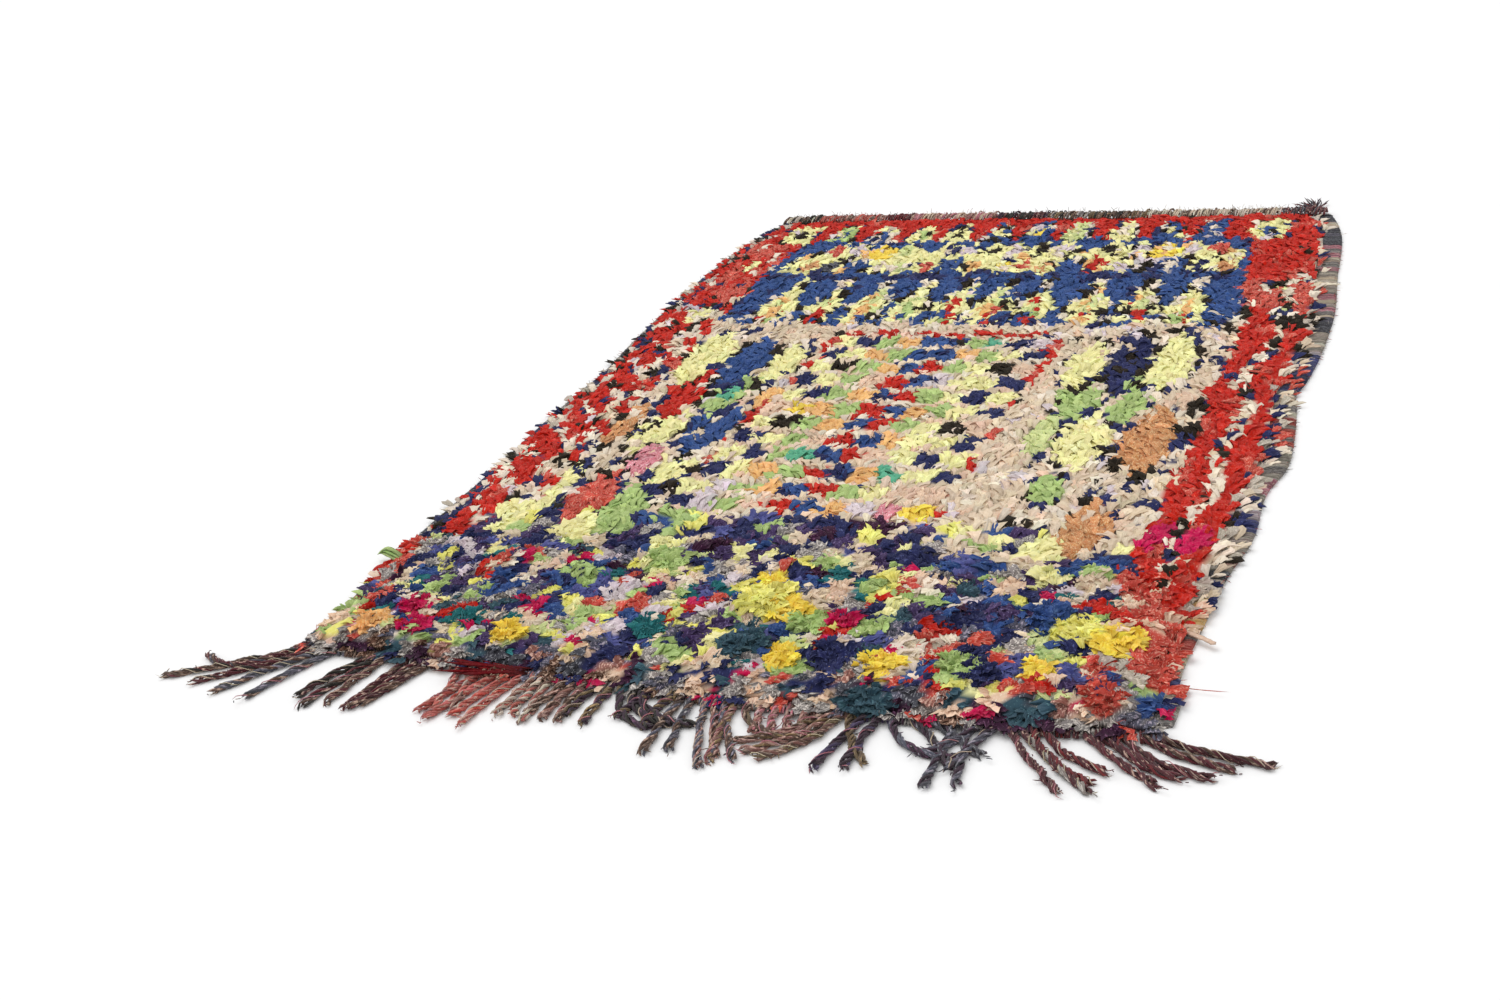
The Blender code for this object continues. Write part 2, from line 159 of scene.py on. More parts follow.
def table(kind: type, text: str) -> tuple:
    """Builds one object for each row of a table.

    Args:
        kind: The class of the objects.
        text: The table. Its first line names the columns; a row may leave out its last cells.

    Returns:
        The objects.
    """
    names, *rows = (line.split() for line in text.strip().splitlines())
    return tuple(kind(**dict(zip(names, map(cell_of, row)))) for row in rows)


@dataclass(frozen=True)
class Lozenge:
    """A leaf-shaped patch of one dye, with a smaller heart of another."""

    x: float
    y: float
    half_width: float
    half_height: float
    dye: Dye
    heart: Dye | None = None


LOZENGES = table(
    Lozenge,
    """
    x      y     half_width half_height dye        heart
    -0.51  0.12  0.055      0.15        LEMON
    -0.405 0.09  0.045      0.14        BLUE
    -0.32  0.09  0.04       0.11        LEMON
    -0.465 -0.07 0.045      0.15        RED
    -0.375 -0.08 0.045      0.12        GREEN      SEA_GREEN
    -0.28  -0.1  0.025      0.065       ORANGE
    -0.45  -0.25 0.045      0.13        LEMON
    -0.345 -0.25 0.05       0.12        BLUE
    -0.545 -0.24 0.045      0.1         TERRACOTTA
    -0.41  -0.4  0.035      0.075       ROSE
    -0.34  -0.43 0.038      0.085       LEMON
    -0.555 -0.58 0.05       0.16        LEMON
    -0.445 -0.57 0.042      0.1         CORAL
    -0.36  -0.6  0.045      0.12        GREEN
    -0.4   -0.7  0.045      0.06        LEMON
    0.325  0.1   0.036      0.125       LEMON
    0.405  0.13  0.038      0.16        NAVY       BLACK
    0.49   0.13  0.042      0.15        LEMON
    0.345  -0.06 0.04       0.11        GREEN
    0.445  -0.06 0.042      0.12        GREEN
    0.395  -0.25 0.046      0.13        LEMON
    0.51   -0.24 0.046      0.145       TERRACOTTA
    0.32   -0.24 0.03       0.1         PALE_GREEN
    0.375  -0.46 0.03       0.055       GREEN
    0.47   -0.6  0.042      0.12        TERRACOTTA
    0.43   -0.67 0.05       0.06        LEMON
    """,
)


@dataclass(frozen=True)
class Motif:
    """One figure in a row of figures: its middle, its own dye and its heart's."""

    x: float
    dye: Dye
    heart: Dye


ARCHES = table(
    Motif,
    """
    x     dye        heart
    -0.6  LEMON      BLACK
    -0.48 GREEN      BLUE
    -0.37 CREAM      BLUE
    -0.27 LEMON      GREEN
    -0.17 LEMON      BLACK
    -0.07 BLUE       LEMON
    0.03  BLUE       GOLD
    0.13  PALE_GREEN LILAC
    0.24  LEMON      CREAM
    0.35  BLUE       LEMON
    0.45  BLUE       CREAM
    0.58  LEMON      BLUE
    """,
)

UPPER_LOZENGES = table(
    Motif,
    """
    x      dye        heart
    -0.45  LEMON      CORAL
    -0.398 LEMON      LILAC
    -0.33  GOLD       GOLD
    -0.27  LEMON      PALE_GREEN
    -0.16  LEMON      NAVY
    -0.11  LEMON      LILAC
    -0.05  LEMON      BLACK
    0.005  LEMON      LILAC
    0.065  LEMON      BLACK
    0.12   LEMON      LILAC
    0.24   LEMON      BLACK
    0.3    PALE_LEMON LILAC
    0.36   GOLD       ORANGE
    0.42   LEMON      LILAC
    0.48   LEMON      CORAL
    """,
)

LOWER_LOZENGES = table(
    Motif,
    """
    x      dye   heart
    -0.49  LEMON TERRACOTTA
    -0.43  LEMON CHARCOAL
    -0.37  BLUE  BLUE
    -0.305 LEMON CREAM
    -0.25  LEMON PALE_GREEN
    -0.19  LEMON CORAL
    -0.13  BLUE  BLUE
    -0.07  LEMON ORANGE
    0.0    LEMON GOLD
    0.05   LEMON CORAL
    0.105  LEMON TERRACOTTA
    0.16   BLUE  BLUE
    0.22   LEMON RED
    0.28   LEMON LILAC
    0.335  LILAC BLACK
    0.395  BLUE  BLUE
    0.455  LEMON NAVY
    0.515  LEMON TERRACOTTA
    """,
)

TREES = table(
    Motif,
    """
    x      dye   heart
    -0.46  LEMON ORANGE
    -0.35  LEMON RED
    -0.245 LEMON ORANGE
    -0.145 LEMON GREEN
    -0.045 LEMON RED
    0.05   LEMON CORAL
    0.14   LEMON ORANGE
    0.26   LEMON ORANGE
    0.37   LEMON RED
    0.47   LEMON ORANGE
    """,
)

# The panel's blocks left and right of its middle, in the rows that take turns
PANEL_ROWS = tuple(
    (*dyes(left), None, None, *dyes(right))
    for left, right in (
        ("LEMON NAVY GREEN ORANGE", "GREEN LEMON NAVY LEMON"),
        ("NAVY LEMON ORANGE GREEN", "ORANGE GREEN LEMON NAVY"),
        ("LEMON BLACK GREEN ORANGE", "GREEN LEMON BLACK PEACH"),
        ("NAVY LEMON GREEN PEACH", "ORANGE LEMON LEMON NAVY"),
    )
)

# The rags that the belt, the front third's right side, its last rows and the rest are mixed from
BELT_DYES = (
    "PURPLE NAVY CANARY BEIGE BLUE GREEN PURPLE NAVY VIOLET_BLUE LEMON NAVY BEIGE PLUM GREY"
)
CORNER_DYES = "CORAL RED CORAL PEACH CORAL TAUPE"
LAST_DYES = (
    "GREY BROWN DARK_TEAL GREY NAVY CORAL PLUM PEACH SLATE SLATE CHARCOAL PINK_BROWN CRIMSON"
)
FRONT_DYES = (
    "CANARY NAVY NAVY BLUE VIOLET_BLUE PURPLE GREEN GREEN BEIGE PEACH BEIGE RED TEAL GREY NAVY "
    "CRIMSON CANARY LEMON CORAL BLUE CREAM LILAC PURPLE PLUM DARK_TEAL SLATE PALE_GREEN GREY NAVY"
)


@dataclass(frozen=True)
class BigRag:
    """A patch of the front third that one large rag fills."""

    x: float
    y: float
    reach: float
    dye: Dye


BIG_RAGS = table(
    BigRag,
    """
    x     y      reach dye
    0.035 -0.895 0.044 CANARY
    0.085 -0.925 0.033 GOLD
    0.02  -0.835 0.026 GOLD
    0.595 -0.945 0.038 GOLD
    0.53  -0.915 0.037 CANARY
    0.27  -1.05  0.031 GOLD
    0.12  -1.05  0.027 GOLD
    0.2   -1.05  0.034 NAVY
    0.385 -1.045 0.033 GREEN
    0.13  -0.955 0.033 GREEN
    0.225 -0.96  0.027 GREEN
    0.06  -1.04  0.031 DARK_TEAL
    0.28  -1.135 0.034 DARK_TEAL
    0.18  -0.945 0.019 CRIMSON
    -0.55 -1.0   0.022 CRIMSON
    -0.52 -1.06  0.021 CRIMSON
    -0.44 -1.03  0.027 TEAL
    -0.34 -1.06  0.022 GOLD
    -0.6  -1.06  0.025 ORANGE
    0.42  -1.055 0.024 NAVY
    0.5   -1.035 0.019 GOLD
    0.48  -0.89  0.033 BLUE
    -0.18 -0.8   0.036 GREEN
    -0.12 -1.01  0.027 TEAL
    0.6   -1.085 0.026 CORAL
    """,
)


@dataclass(frozen=True)
class Cluster:
    """Warp ends along the front: where they root, how they lean and curl, and their dyes."""

    start: float
    end: float
    count: int
    lean: float
    end_lean: float
    fan: float
    length: float
    dyes: tuple[Dye, ...]


FRINGE = table(
    Cluster,
    """
    start  end    count lean end_lean fan length dyes
    -0.703 -0.703 1     -14  -138     0   0.204  BROWN+BURGUNDY+SLATE
    -0.682 -0.66  2     -50  -62      8   0.24   BROWN+BURGUNDY+BLACK
    -0.646 -0.628 2     -38  -26      14  0.19   SLATE+CHARCOAL+BROWN
    -0.56  -0.528 3     -20  -12      12  0.158  BURGUNDY+BLACK+BROWN
    -0.492 -0.446 3     -8   -22      -12 0.152  BURGUNDY+BURGUNDY+BROWN
    -0.388 -0.368 2     20   6        8   0.138  SALMON+CREAM+PINK_BROWN
    -0.332 -0.27  4     -26  -12      12  0.142  CORAL+SALMON+SALMON
    -0.248 -0.222 3     -6   6        14  0.11   SALMON+PINK_BROWN+CREAM
    -0.19  -0.16  3     -14  2        16  0.102  PINK_BROWN+BROWN
    -0.138 -0.116 2     -10  -2       10  0.095  OLIVE+PLUM
    -0.096 -0.066 3     14   96       16  0.145  PLUM+BLACK+PLUM
    -0.046 -0.014 2     -22  -4       16  0.088  OLIVE+PLUM
    0.004  0.02   2     0    8        8   0.148  SLATE+BROWN
    0.042  0.07   3     18   28       8   0.16   PINK_BROWN+BROWN+SLATE
    0.088  0.088  1     4    10       0   0.142  PINK_BROWN+OLIVE
    0.108  0.108  1     6    125      0   0.172  OLIVE+OLIVE+BROWN
    0.13   0.196  4     8    18       4   0.066  PINK_BROWN+PINK_BROWN+ROSE
    0.224  0.25   3     -14  -72      14  0.158  PINK_BROWN+OLIVE+BROWN
    0.264  0.264  1     8    50       0   0.14   OLIVE+OLIVE
    0.286  0.306  2     -14  -6       8   0.134  PLUM+PLUM+PURPLE
    0.326  0.326  1     8    116      0   0.168  SLATE+PLUM
    0.352  0.378  2     54   40       14  0.128  PLUM+SLATE+CHARCOAL
    0.412  0.428  2     8    0        10  0.146  SLATE+CHARCOAL+PLUM
    0.448  0.466  2     -22  -36      16  0.108  PLUM+SLATE
    0.488  0.502  2     32   50       8   0.182  BURGUNDY+BURGUNDY+GREY
    0.52   0.536  2     24   74       8   0.148  BURGUNDY+DARK_RED
    0.588  0.604  2     46   60       8   0.146  BURGUNDY+BURGUNDY
    0.624  0.638  2     26   92       8   0.148  BURGUNDY+DARK_RED
    0.66   0.686  2     60   88       10  0.156  BURGUNDY+BURGUNDY+BROWN
    """,
)


@dataclass(frozen=True)
class DyeRun:
    """Wraps up to a place along a band, and the dyes that they are picked from."""

    until: float
    dyes: tuple[Dye, ...]


END_RUNS = table(
    DyeRun,
    """
    until dyes
    -0.6  BROWN+BLACK+CREAM
    -0.41 BROWN+CORAL+PINK_BROWN
    -0.34 DARK_RED+BURGUNDY
    -0.11 ROSE+PEACH+PINK_BROWN
    0.02  PLUM+BLACK+BURGUNDY
    0.27  BROWN+GREY+BLACK+OLIVE
    0.59  CREAM+CREAM+BROWN+BEIGE
    0.8   CHARCOAL+BURGUNDY+BURGUNDY
    """,
)

RIGHT_RUNS = table(
    DyeRun,
    """
    until dyes
    -1.06 GREY+BURGUNDY+ROSE+TAUPE
    -0.96 TAUPE+VIOLET_BLUE+CRIMSON+CREAM
    -0.78 TAUPE+GREY+CORAL+BEIGE+ORANGE
    -0.7  CHARCOAL+TAUPE
    -0.6  TAUPE+PINK_BROWN+TAUPE
    -0.5  LILAC+VIOLET_BLUE+TAUPE
    -0.42 BLACK+CHARCOAL+TAUPE
    -0.34 TAUPE+ROSE+CREAM
    -0.12 TAUPE+TAUPE+GREY+CORAL
    0.02  TAUPE+CREAM+BEIGE+GREY
    0.2   NAVY+VIOLET_BLUE+VIOLET_BLUE+LILAC
    0.32  TAUPE+CREAM+TAUPE
    0.4   SLATE+CHARCOAL+CHARCOAL
    0.86  TAUPE+TAUPE+GREY+BEIGE+ROSE
    1.2   CHARCOAL+CHARCOAL+BEIGE+SLATE
    """,
)

LEFT_RUNS = table(
    DyeRun,
    """
    until dyes
    -0.98 CORAL+GREY+CHARCOAL
    -0.74 CORAL+CORAL+RED+GREY
    0.1   GREY+NAVY+CHARCOAL
    1.2   GREY+CHARCOAL+TAUPE
    """,
)


def ease(values: np.ndarray) -> np.ndarray:
    """Smooth step from 0 to 1, held flat outside that range."""
    share = np.clip(values, 0.0, 1.0)
    return share * share * (3.0 - 2.0 * share)


def linear(display: np.ndarray) -> np.ndarray:
    """Turns 8-bit display colours into scene-linear ones."""
    share = np.asarray(display, dtype=float) / 255.0
    return np.where(share <= 0.04045, share / 12.92, ((share + 0.055) / 1.055) ** 2.4)


def unit(vectors: np.ndarray) -> np.ndarray:
    """Scales vectors on the last axis to length 1."""
    return vectors / np.maximum(np.linalg.norm(vectors, axis=-1, keepdims=True), 1e-9)


@dataclass(frozen=True)
class Template:
    """The faces of one closed shape, as corner numbers."""

    count: int
    quads: np.ndarray
    triangles: np.ndarray

    @staticmethod
    def tube(stations: int, sides: int) -> Template:
        """A closed tube whose rings end in a point at the root and at the tip.

        Args:
            stations: Rings along the tube.
            sides: Corners of each ring.

        Returns:
            The template, whose last two corners are the root and the tip.
        """
        root, tip = stations * sides, stations * sides + 1
        last = (stations - 1) * sides
        quads, triangles = [], []
        for i in range(sides):
            j = (i + 1) % sides
            triangles.append((root, i, j))
            triangles.append((tip, last + j, last + i))
            for ring in range(0, last, sides):
                quads.append((ring + i, ring + sides + i, ring + sides + j, ring + j))
        return Template(tip + 1, np.array(quads), np.array(triangles))

    @staticmethod
    def grid(columns: int, rows: int) -> np.ndarray:
        """The quads of a grid that is numbered row by row, seen from above."""
        near = (np.arange(rows - 1)[:, None] * columns + np.arange(columns - 1)).ravel()
        return np.stack([near, near + 1, near + columns + 1, near + columns], axis=1)

    @staticmethod
    def slab(columns: int, rows: int) -> tuple[Template, np.ndarray]:
        """A grid on top of a skirt, closed below by strips from side to side.

        Args:
            columns: Grid points across.
            rows: Grid points along.

        Returns:
            The template, and the numbers of the rim's corners. A copy of the rim comes
            after the grid, as the lower edge of the skirt.
        """
        grid = columns * rows
        quads = Template.grid(columns, rows).tolist()
        rim = Template.rim(columns, rows)
        count = len(rim)
        for i in range(count):
            j = (i + 1) % count
            quads.append((rim[j], rim[i], grid + i, grid + j))
        front = [grid + i for i in range(columns)]
        right = [grid + columns - 1 + i for i in range(rows)]
        left = [grid] + [grid + count - i for i in range(1, rows)]
        triangles = []
        for i in range(1, rows - 2):
            quads.append((left[i], left[i + 1], right[i + 1], right[i]))
        back = right[-1:] + [grid + i for i in range(columns + rows - 1, 2 * columns + rows - 2)]
        for i in range(columns - 1):
            triangles.append((left[1], front[i + 1], front[i]))
            triangles.append((right[-2], back[i + 1], back[i]))
        triangles.append((left[1], right[1], front[-1]))
        triangles.append((right[-2], left[-2], back[-1]))
        return Template(grid + count, np.array(quads), np.array(triangles)), np.array(rim)

    @staticmethod
    def rim(columns: int, rows: int) -> list[int]:
        """The outer corners of a grid, in a ring from its first corner."""
        grid = columns * rows
        ring = list(range(columns))
        ring += [row * columns + columns - 1 for row in range(1, rows)]
        ring += [grid - columns + column for column in range(columns - 2, -1, -1)]
        ring += [row * columns for row in range(rows - 2, 0, -1)]
        return ring

    @staticmethod
    def petal(columns: int, rows: int) -> Template:
        """A crumpled leaf: a grid on top, closed below by a fan to one keel point.

        Args:
            columns: Grid points across the leaf.
            rows: Grid points from its root to its tip.

        Returns:
            The template, whose last corner is the keel.
        """
        keel = columns * rows
        rim = Template.rim(columns, rows)
        fan = [(keel, before, after) for before, after in zip(rim, rim[1:] + rim[:1])]
        return Template(keel + 1, Template.grid(columns, rows)[:, [0, 3, 2, 1]], np.array(fan))


@dataclass
class ClothStore:
    """Gathers closed shapes with their dyes and turns them into one mesh object."""

    points: list[np.ndarray] = field(default_factory=list)
    quads: list[np.ndarray] = field(default_factory=list)
    triangles: list[np.ndarray] = field(default_factory=list)
    dyes: list[np.ndarray] = field(default_factory=list)
    flecks: list[np.ndarray] = field(default_factory=list)
    lies: list[np.ndarray] = field(default_factory=list)
    size: int = 0

    def add(
        self,
        template: Template,
        points: np.ndarray,
        colours: DyeRows,
        share: np.ndarray,
        lie: np.ndarray,
    ) -> None:
        """Adds a batch of alike shapes.

        Args:
            template: The faces of one shape.
            points: Corner places, as shapes by corners by 3.
            colours: The dye of each shape, or of each corner of a single shape.
            share: How far along the rag each corner lies, as shapes by corners.
            lie: Cloth coordinates of each corner, as shapes by corners by 3.
        """
        shapes, corners = points.shape[:2]
        starts = self.size + np.arange(shapes)[:, None, None] * corners
        self.points.append(points.reshape(-1, 3))
        self.quads.append((template.quads[None] + starts).reshape(-1, 4))
        self.triangles.append((template.triangles[None] + starts).reshape(-1, 3))
        repeats = shapes * corners // len(colours.dye)
        dye = np.concatenate([colours.dye, colours.flecked[:, None]], axis=1)
        self.dyes.append(np.repeat(dye, repeats, axis=0))
        # The fleck attribute's alpha holds the share along the rag, which sets how much shade is painted
        # at its root
        fleck = np.repeat(colours.fleck, repeats, axis=0)
        self.flecks.append(np.concatenate([fleck, share.reshape(-1, 1)], axis=1))
        self.lies.append(lie.reshape(-1, 3))
        self.size += shapes * corners

    def build(self, name: str, finish: Cloth, smooth: bool) -> Piece:
        """Makes the mesh object.

        Args:
            name: The piece's name.
            finish: The material that it wears.
            smooth: Whether its faces are shaded smooth.

        Returns:
            The object, linked to the scene and riding on the rug's one body.
        """
        quads, triangles = np.concatenate(self.quads), np.concatenate(self.triangles)
        mesh = bpy.data.meshes.new(name)
        mesh.vertices.add(self.size)
        mesh.vertices.foreach_set("co", np.concatenate(self.points).astype(np.float32).ravel())
        mesh.loops.add(quads.size + triangles.size)
        corners = np.concatenate([quads.ravel(), triangles.ravel()]).astype(np.int32)
        mesh.loops.foreach_set("vertex_index", corners)
        mesh.polygons.add(len(quads) + len(triangles))
        starts = np.concatenate(
            [np.arange(len(quads)) * 4, quads.size + np.arange(len(triangles)) * 3]
        )
        mesh.polygons.foreach_set("loop_start", starts.astype(np.int32))
        mesh.update(calc_edges=True)
        mesh.validate()
        mesh.polygons.foreach_set("use_smooth", np.full(len(mesh.polygons), smooth))
        for label, rows in (("dye", self.dyes), ("fleck", self.flecks)):
            layer = mesh.attributes.new(label, "FLOAT_COLOR", "POINT")
            layer.data.foreach_set("color", np.concatenate(rows).astype(np.float32).ravel())
        layer = mesh.attributes.new("lie", "FLOAT_VECTOR", "POINT")
        layer.data.foreach_set("vector", np.concatenate(self.lies).astype(np.float32).ravel())
        mesh.materials.append(finish)
        made = bpy.data.objects.new(name, mesh)
        bpy.context.scene.collection.objects.link(made)
        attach(made, "root")
        LOG.info("%s: %d triangles", name, 2 * len(quads) + len(triangles))
        return made


@dataclass(frozen=True)
class DyeRows:
    """Dyes of a batch of shapes as columns of numbers, each shape a little off its lot."""

    dye: np.ndarray
    fleck: np.ndarray
    flecked: np.ndarray

    @staticmethod
    def mixed(
        dyes: list[Dye], random: np.random.Generator, uneven: float = 0.09, tint: float = 0.035
    ) -> DyeRows:
        """Looks the dyes up and varies them.

        Args:
            dyes: One dye for each shape.
            random: The source of chance.
            uneven: Spread of the brightness.
            tint: Spread of the single colour channels.

        Returns:
            The rows in scene-linear colour.
        """
        lots = [dye.value for dye in dyes]
        colour = linear(np.array([lot.colour for lot in lots])) * DYE_LIFT
        fleck = linear(np.array([lot.fleck for lot in lots])) * DYE_LIFT
        level = np.exp(random.normal(0.0, uneven, (len(lots), 1)))
        shift = np.exp(random.normal(0.0, tint, (len(lots), 3)))
        return DyeRows(
            np.clip(colour * level * shift, 0.0, 0.94),
            np.clip(fleck * level, 0.0, 0.94),
            np.array([lot.flecked for lot in lots]),
        )


class NodeSheet:
    """A node tree with short calls to add nodes and link them."""

    def __init__(self, tree: Tree) -> None:
        """Keeps the tree that the calls work on."""
        self.tree = tree

    def add(self, kind: str, settings: dict | None = None, **inputs: object) -> Node:
        """Adds a node and fills its inputs.

        Args:
            kind: The node's type, without its ShaderNode prefix.
            settings: Properties of the node.
            **inputs: Sockets by name, or by number as in_0; each a value or a socket.

        Returns:
            The new node.
        """
        node = self.tree.nodes.new("ShaderNode" + kind)
        for name, value in (settings or {}).items():
            setattr(node, name, value)
        for name, value in inputs.items():
            key = int(name[3:]) if name.startswith("in_") else name.replace("_", " ")
            if isinstance(value, Socket):
                self.tree.links.new(value, node.inputs[key])
            else:
                node.inputs[key].default_value = value
        return node

    def effect(self, tree: Tree, **inputs: object) -> bpy.types.NodeOutputs:
        """Places a shared effect with its own values and returns its results."""
        return self.add("Group", {"node_tree": tree}, **inputs).outputs

    def math(self, operation: str, *values: object) -> Socket:
        """Adds a math node and returns its result."""
        filled = {f"in_{i}": value for i, value in enumerate(values)}
        return self.add("Math", {"operation": operation}, **filled).outputs[0]

    def mix(self, share: object, first: object, second: object) -> Socket:
        """Adds a colour mix and returns its result."""
        node = self.add("Mix", {"data_type": "RGBA"}, in_0=share, in_6=first, in_7=second)
        return node.outputs[2]

    def ramp(self, value: object, low: float, high: float, start: object, end: object) -> Socket:
        """Maps a value from one range to another, held at its ends, and returns the result."""
        node = self.add("MapRange", in_0=value, in_1=low, in_2=high, in_3=start, in_4=end)
        return node.outputs[0]

    def stretch(self, place: Socket, factors: tuple[float, float, float]) -> Socket:
        """Scales coordinates along each axis and returns the result."""
        node = self.add("VectorMath", {"operation": "MULTIPLY"}, in_0=place, in_1=factors)
        return node.outputs[0]


class EffectGroup(NodeSheet):
    """A shared node group with named sockets."""

    KINDS = {"Colour": "NodeSocketColor", "Fleck": "NodeSocketColor", "Lie": "NodeSocketVector"}

    def __init__(self, name: str, results: tuple[str, ...], **inputs: float | None) -> None:
        """Starts the group.

        Args:
            name: The group's name.
            results: Names of the result sockets.
            **inputs: Names of the input sockets, each with the start value of a plain number.
        """
        super().__init__(bpy.data.node_groups.new(name, "ShaderNodeTree"))
        sockets = [("INPUT", label) for label in inputs] + [("OUTPUT", label) for label in results]
        for way, label in sockets:
            kind = self.KINDS.get(label, "NodeSocketFloat")
            socket = self.tree.interface.new_socket(label, in_out=way, socket_type=kind)
            if inputs.get(label) is not None:
                socket.default_value = inputs[label]
        self.given = self.tree.nodes.new("NodeGroupInput").outputs
        self.asked = self.tree.nodes.new("NodeGroupOutput").inputs

    def done(self, **results: Socket) -> Tree:
        """Links the results and returns the finished tree."""
        for label, socket in results.items():
            self.tree.links.new(socket, self.asked[label])
        return self.tree

    def wave(self, value: Socket, turn: Socket) -> Socket:
        """A sine of a value, turned so many radians to the metre."""
        return self.math("SINE", self.math("MULTIPLY", value, turn))


class EffectGroups:
    """The effects that more than one cloth uses, each a node group that is built once."""

    def __init__(self) -> None:
        """Builds every group."""
        self.drift = self.dye_drift()
        self.melange = self.flecks()
        self.depth = self.pile_depth()
        self.weave = self.threads()
        self.crumple = self.creases()
        self.ply = self.twist()

    def dye_drift(self) -> Tree:
        """Uneven dye: a slow change of value and saturation over the cloth."""
        group = EffectGroup("uneven_dye", ("Colour",), Colour=None, Lie=None, Amount=0.2)
        cloud = group.add("TexNoise", Vector=group.given["Lie"], Scale=140.0, Detail=3.0)
        span = group.given["Amount"]
        lower, upper = group.math("SUBTRACT", 1.0, span), group.math("ADD", 1.0, span)
        value = group.ramp(cloud.outputs["Fac"], 0.3, 0.7, lower, upper)
        dulled = group.math("SUBTRACT", 2.0, value)
        shifted = group.add(
            "HueSaturation", Saturation=dulled, Value=value, Color=group.given["Colour"]
        )
        return group.done(Colour=shifted.outputs[0])

    def flecks(self) -> Tree:
        """Flecks of a second colour drawn out along the thread."""
        inputs = {"Colour": None, "Fleck": None, "Lie": None, "Share": 0.2, "Size": 0.003}
        group = EffectGroup("melange", ("Colour", "Mask"), **inputs)
        stretch = group.stretch(group.given["Lie"], (1, 0.4, 1))
        scale = group.math("DIVIDE", 1.0, group.given["Size"])
        grain = group.add("TexNoise", Vector=stretch, Scale=scale, Detail=2.0)
        level = group.ramp(group.given["Share"], 0.0, 1.0, 0.70, 0.30)
        mask = group.ramp(group.math("SUBTRACT", grain.outputs["Fac"], level), -0.02, 0.05, 0.0, 1.0)
        mixed = group.mix(mask, group.given["Colour"], group.given["Fleck"])
        return group.done(Colour=mixed, Mask=mask)

    def pile_depth(self) -> Tree:
        """Painted shade at the roots of the rags, and their rubbed tips."""
        group = EffectGroup("pile_depth", ("Colour",), Colour=None, Share=0.5, Root=0.5, Tip=0.1)
        share = group.given["Share"]
        root = group.ramp(share, 0.05, 0.6, group.given["Root"], 0.0)
        shaded = group.mix(root, group.given["Colour"], ROOT_PAINTED_SHADE)
        tip = group.ramp(share, 0.75, 1.0, 0.0, group.given["Tip"])
        return group.done(Colour=group.mix(tip, shaded, RUBBED_TIP))

    def threads(self) -> Tree:
        """Crossing threads of a woven or knitted rag."""
        group = EffectGroup("weave_height", ("Height",), Lie=None, Thread=0.0009)
        parts = group.add("SeparateXYZ", in_0=group.given["Lie"])
        turn = group.math("DIVIDE", math.tau, group.given["Thread"])
        across, along = (group.wave(parts.outputs[axis], turn) for axis in "XY")
        height = group.ramp(group.math("MULTIPLY", across, along), -1.0, 1.0, 0.0, 1.0)
        return group.done(Height=height)

    def creases(self) -> Tree:
        """Creases of a rag that has been squeezed."""
        group = EffectGroup("crumple_height", ("Height",), Lie=None, Size=0.006)
        stretch = group.stretch(group.given["Lie"], (1, 0.45, 40))
        scale = group.math("DIVIDE", 1.0, group.given["Size"])
        cloud = group.add("TexNoise", Vector=stretch, Scale=scale, Detail=3.0, Distortion=0.6)
        fold = group.math("ABSOLUTE", group.math("SUBTRACT", cloud.outputs["Fac"], 0.5))
        return group.done(Height=group.ramp(fold, 0.0, 0.22, 0.0, 1.0))

    def twist(self) -> Tree:
        """Twisted fibres that run slantwise round a yarn; the mask marks the grooves where shade is
        painted.
        """
        group = EffectGroup("yarn_ply", ("Height", "Mask"), Lie=None, Pitch=0.0022)
        parts = group.add("SeparateXYZ", in_0=group.given["Lie"])
        slant = group.math("ADD", parts.outputs["Y"], parts.outputs["X"])
        wave = group.wave(slant, group.math("DIVIDE", math.tau, group.given["Pitch"]))
        height = group.ramp(wave, -1.0, 1.0, 0.0, 1.0)
        return group.done(Height=height, Mask=group.ramp(wave, -1.0, -0.3, 1.0, 0.0))


class Surface(Enum):
    """The relief that a cloth shows close by."""

    WOVEN = "woven"
    SPUN = "spun"


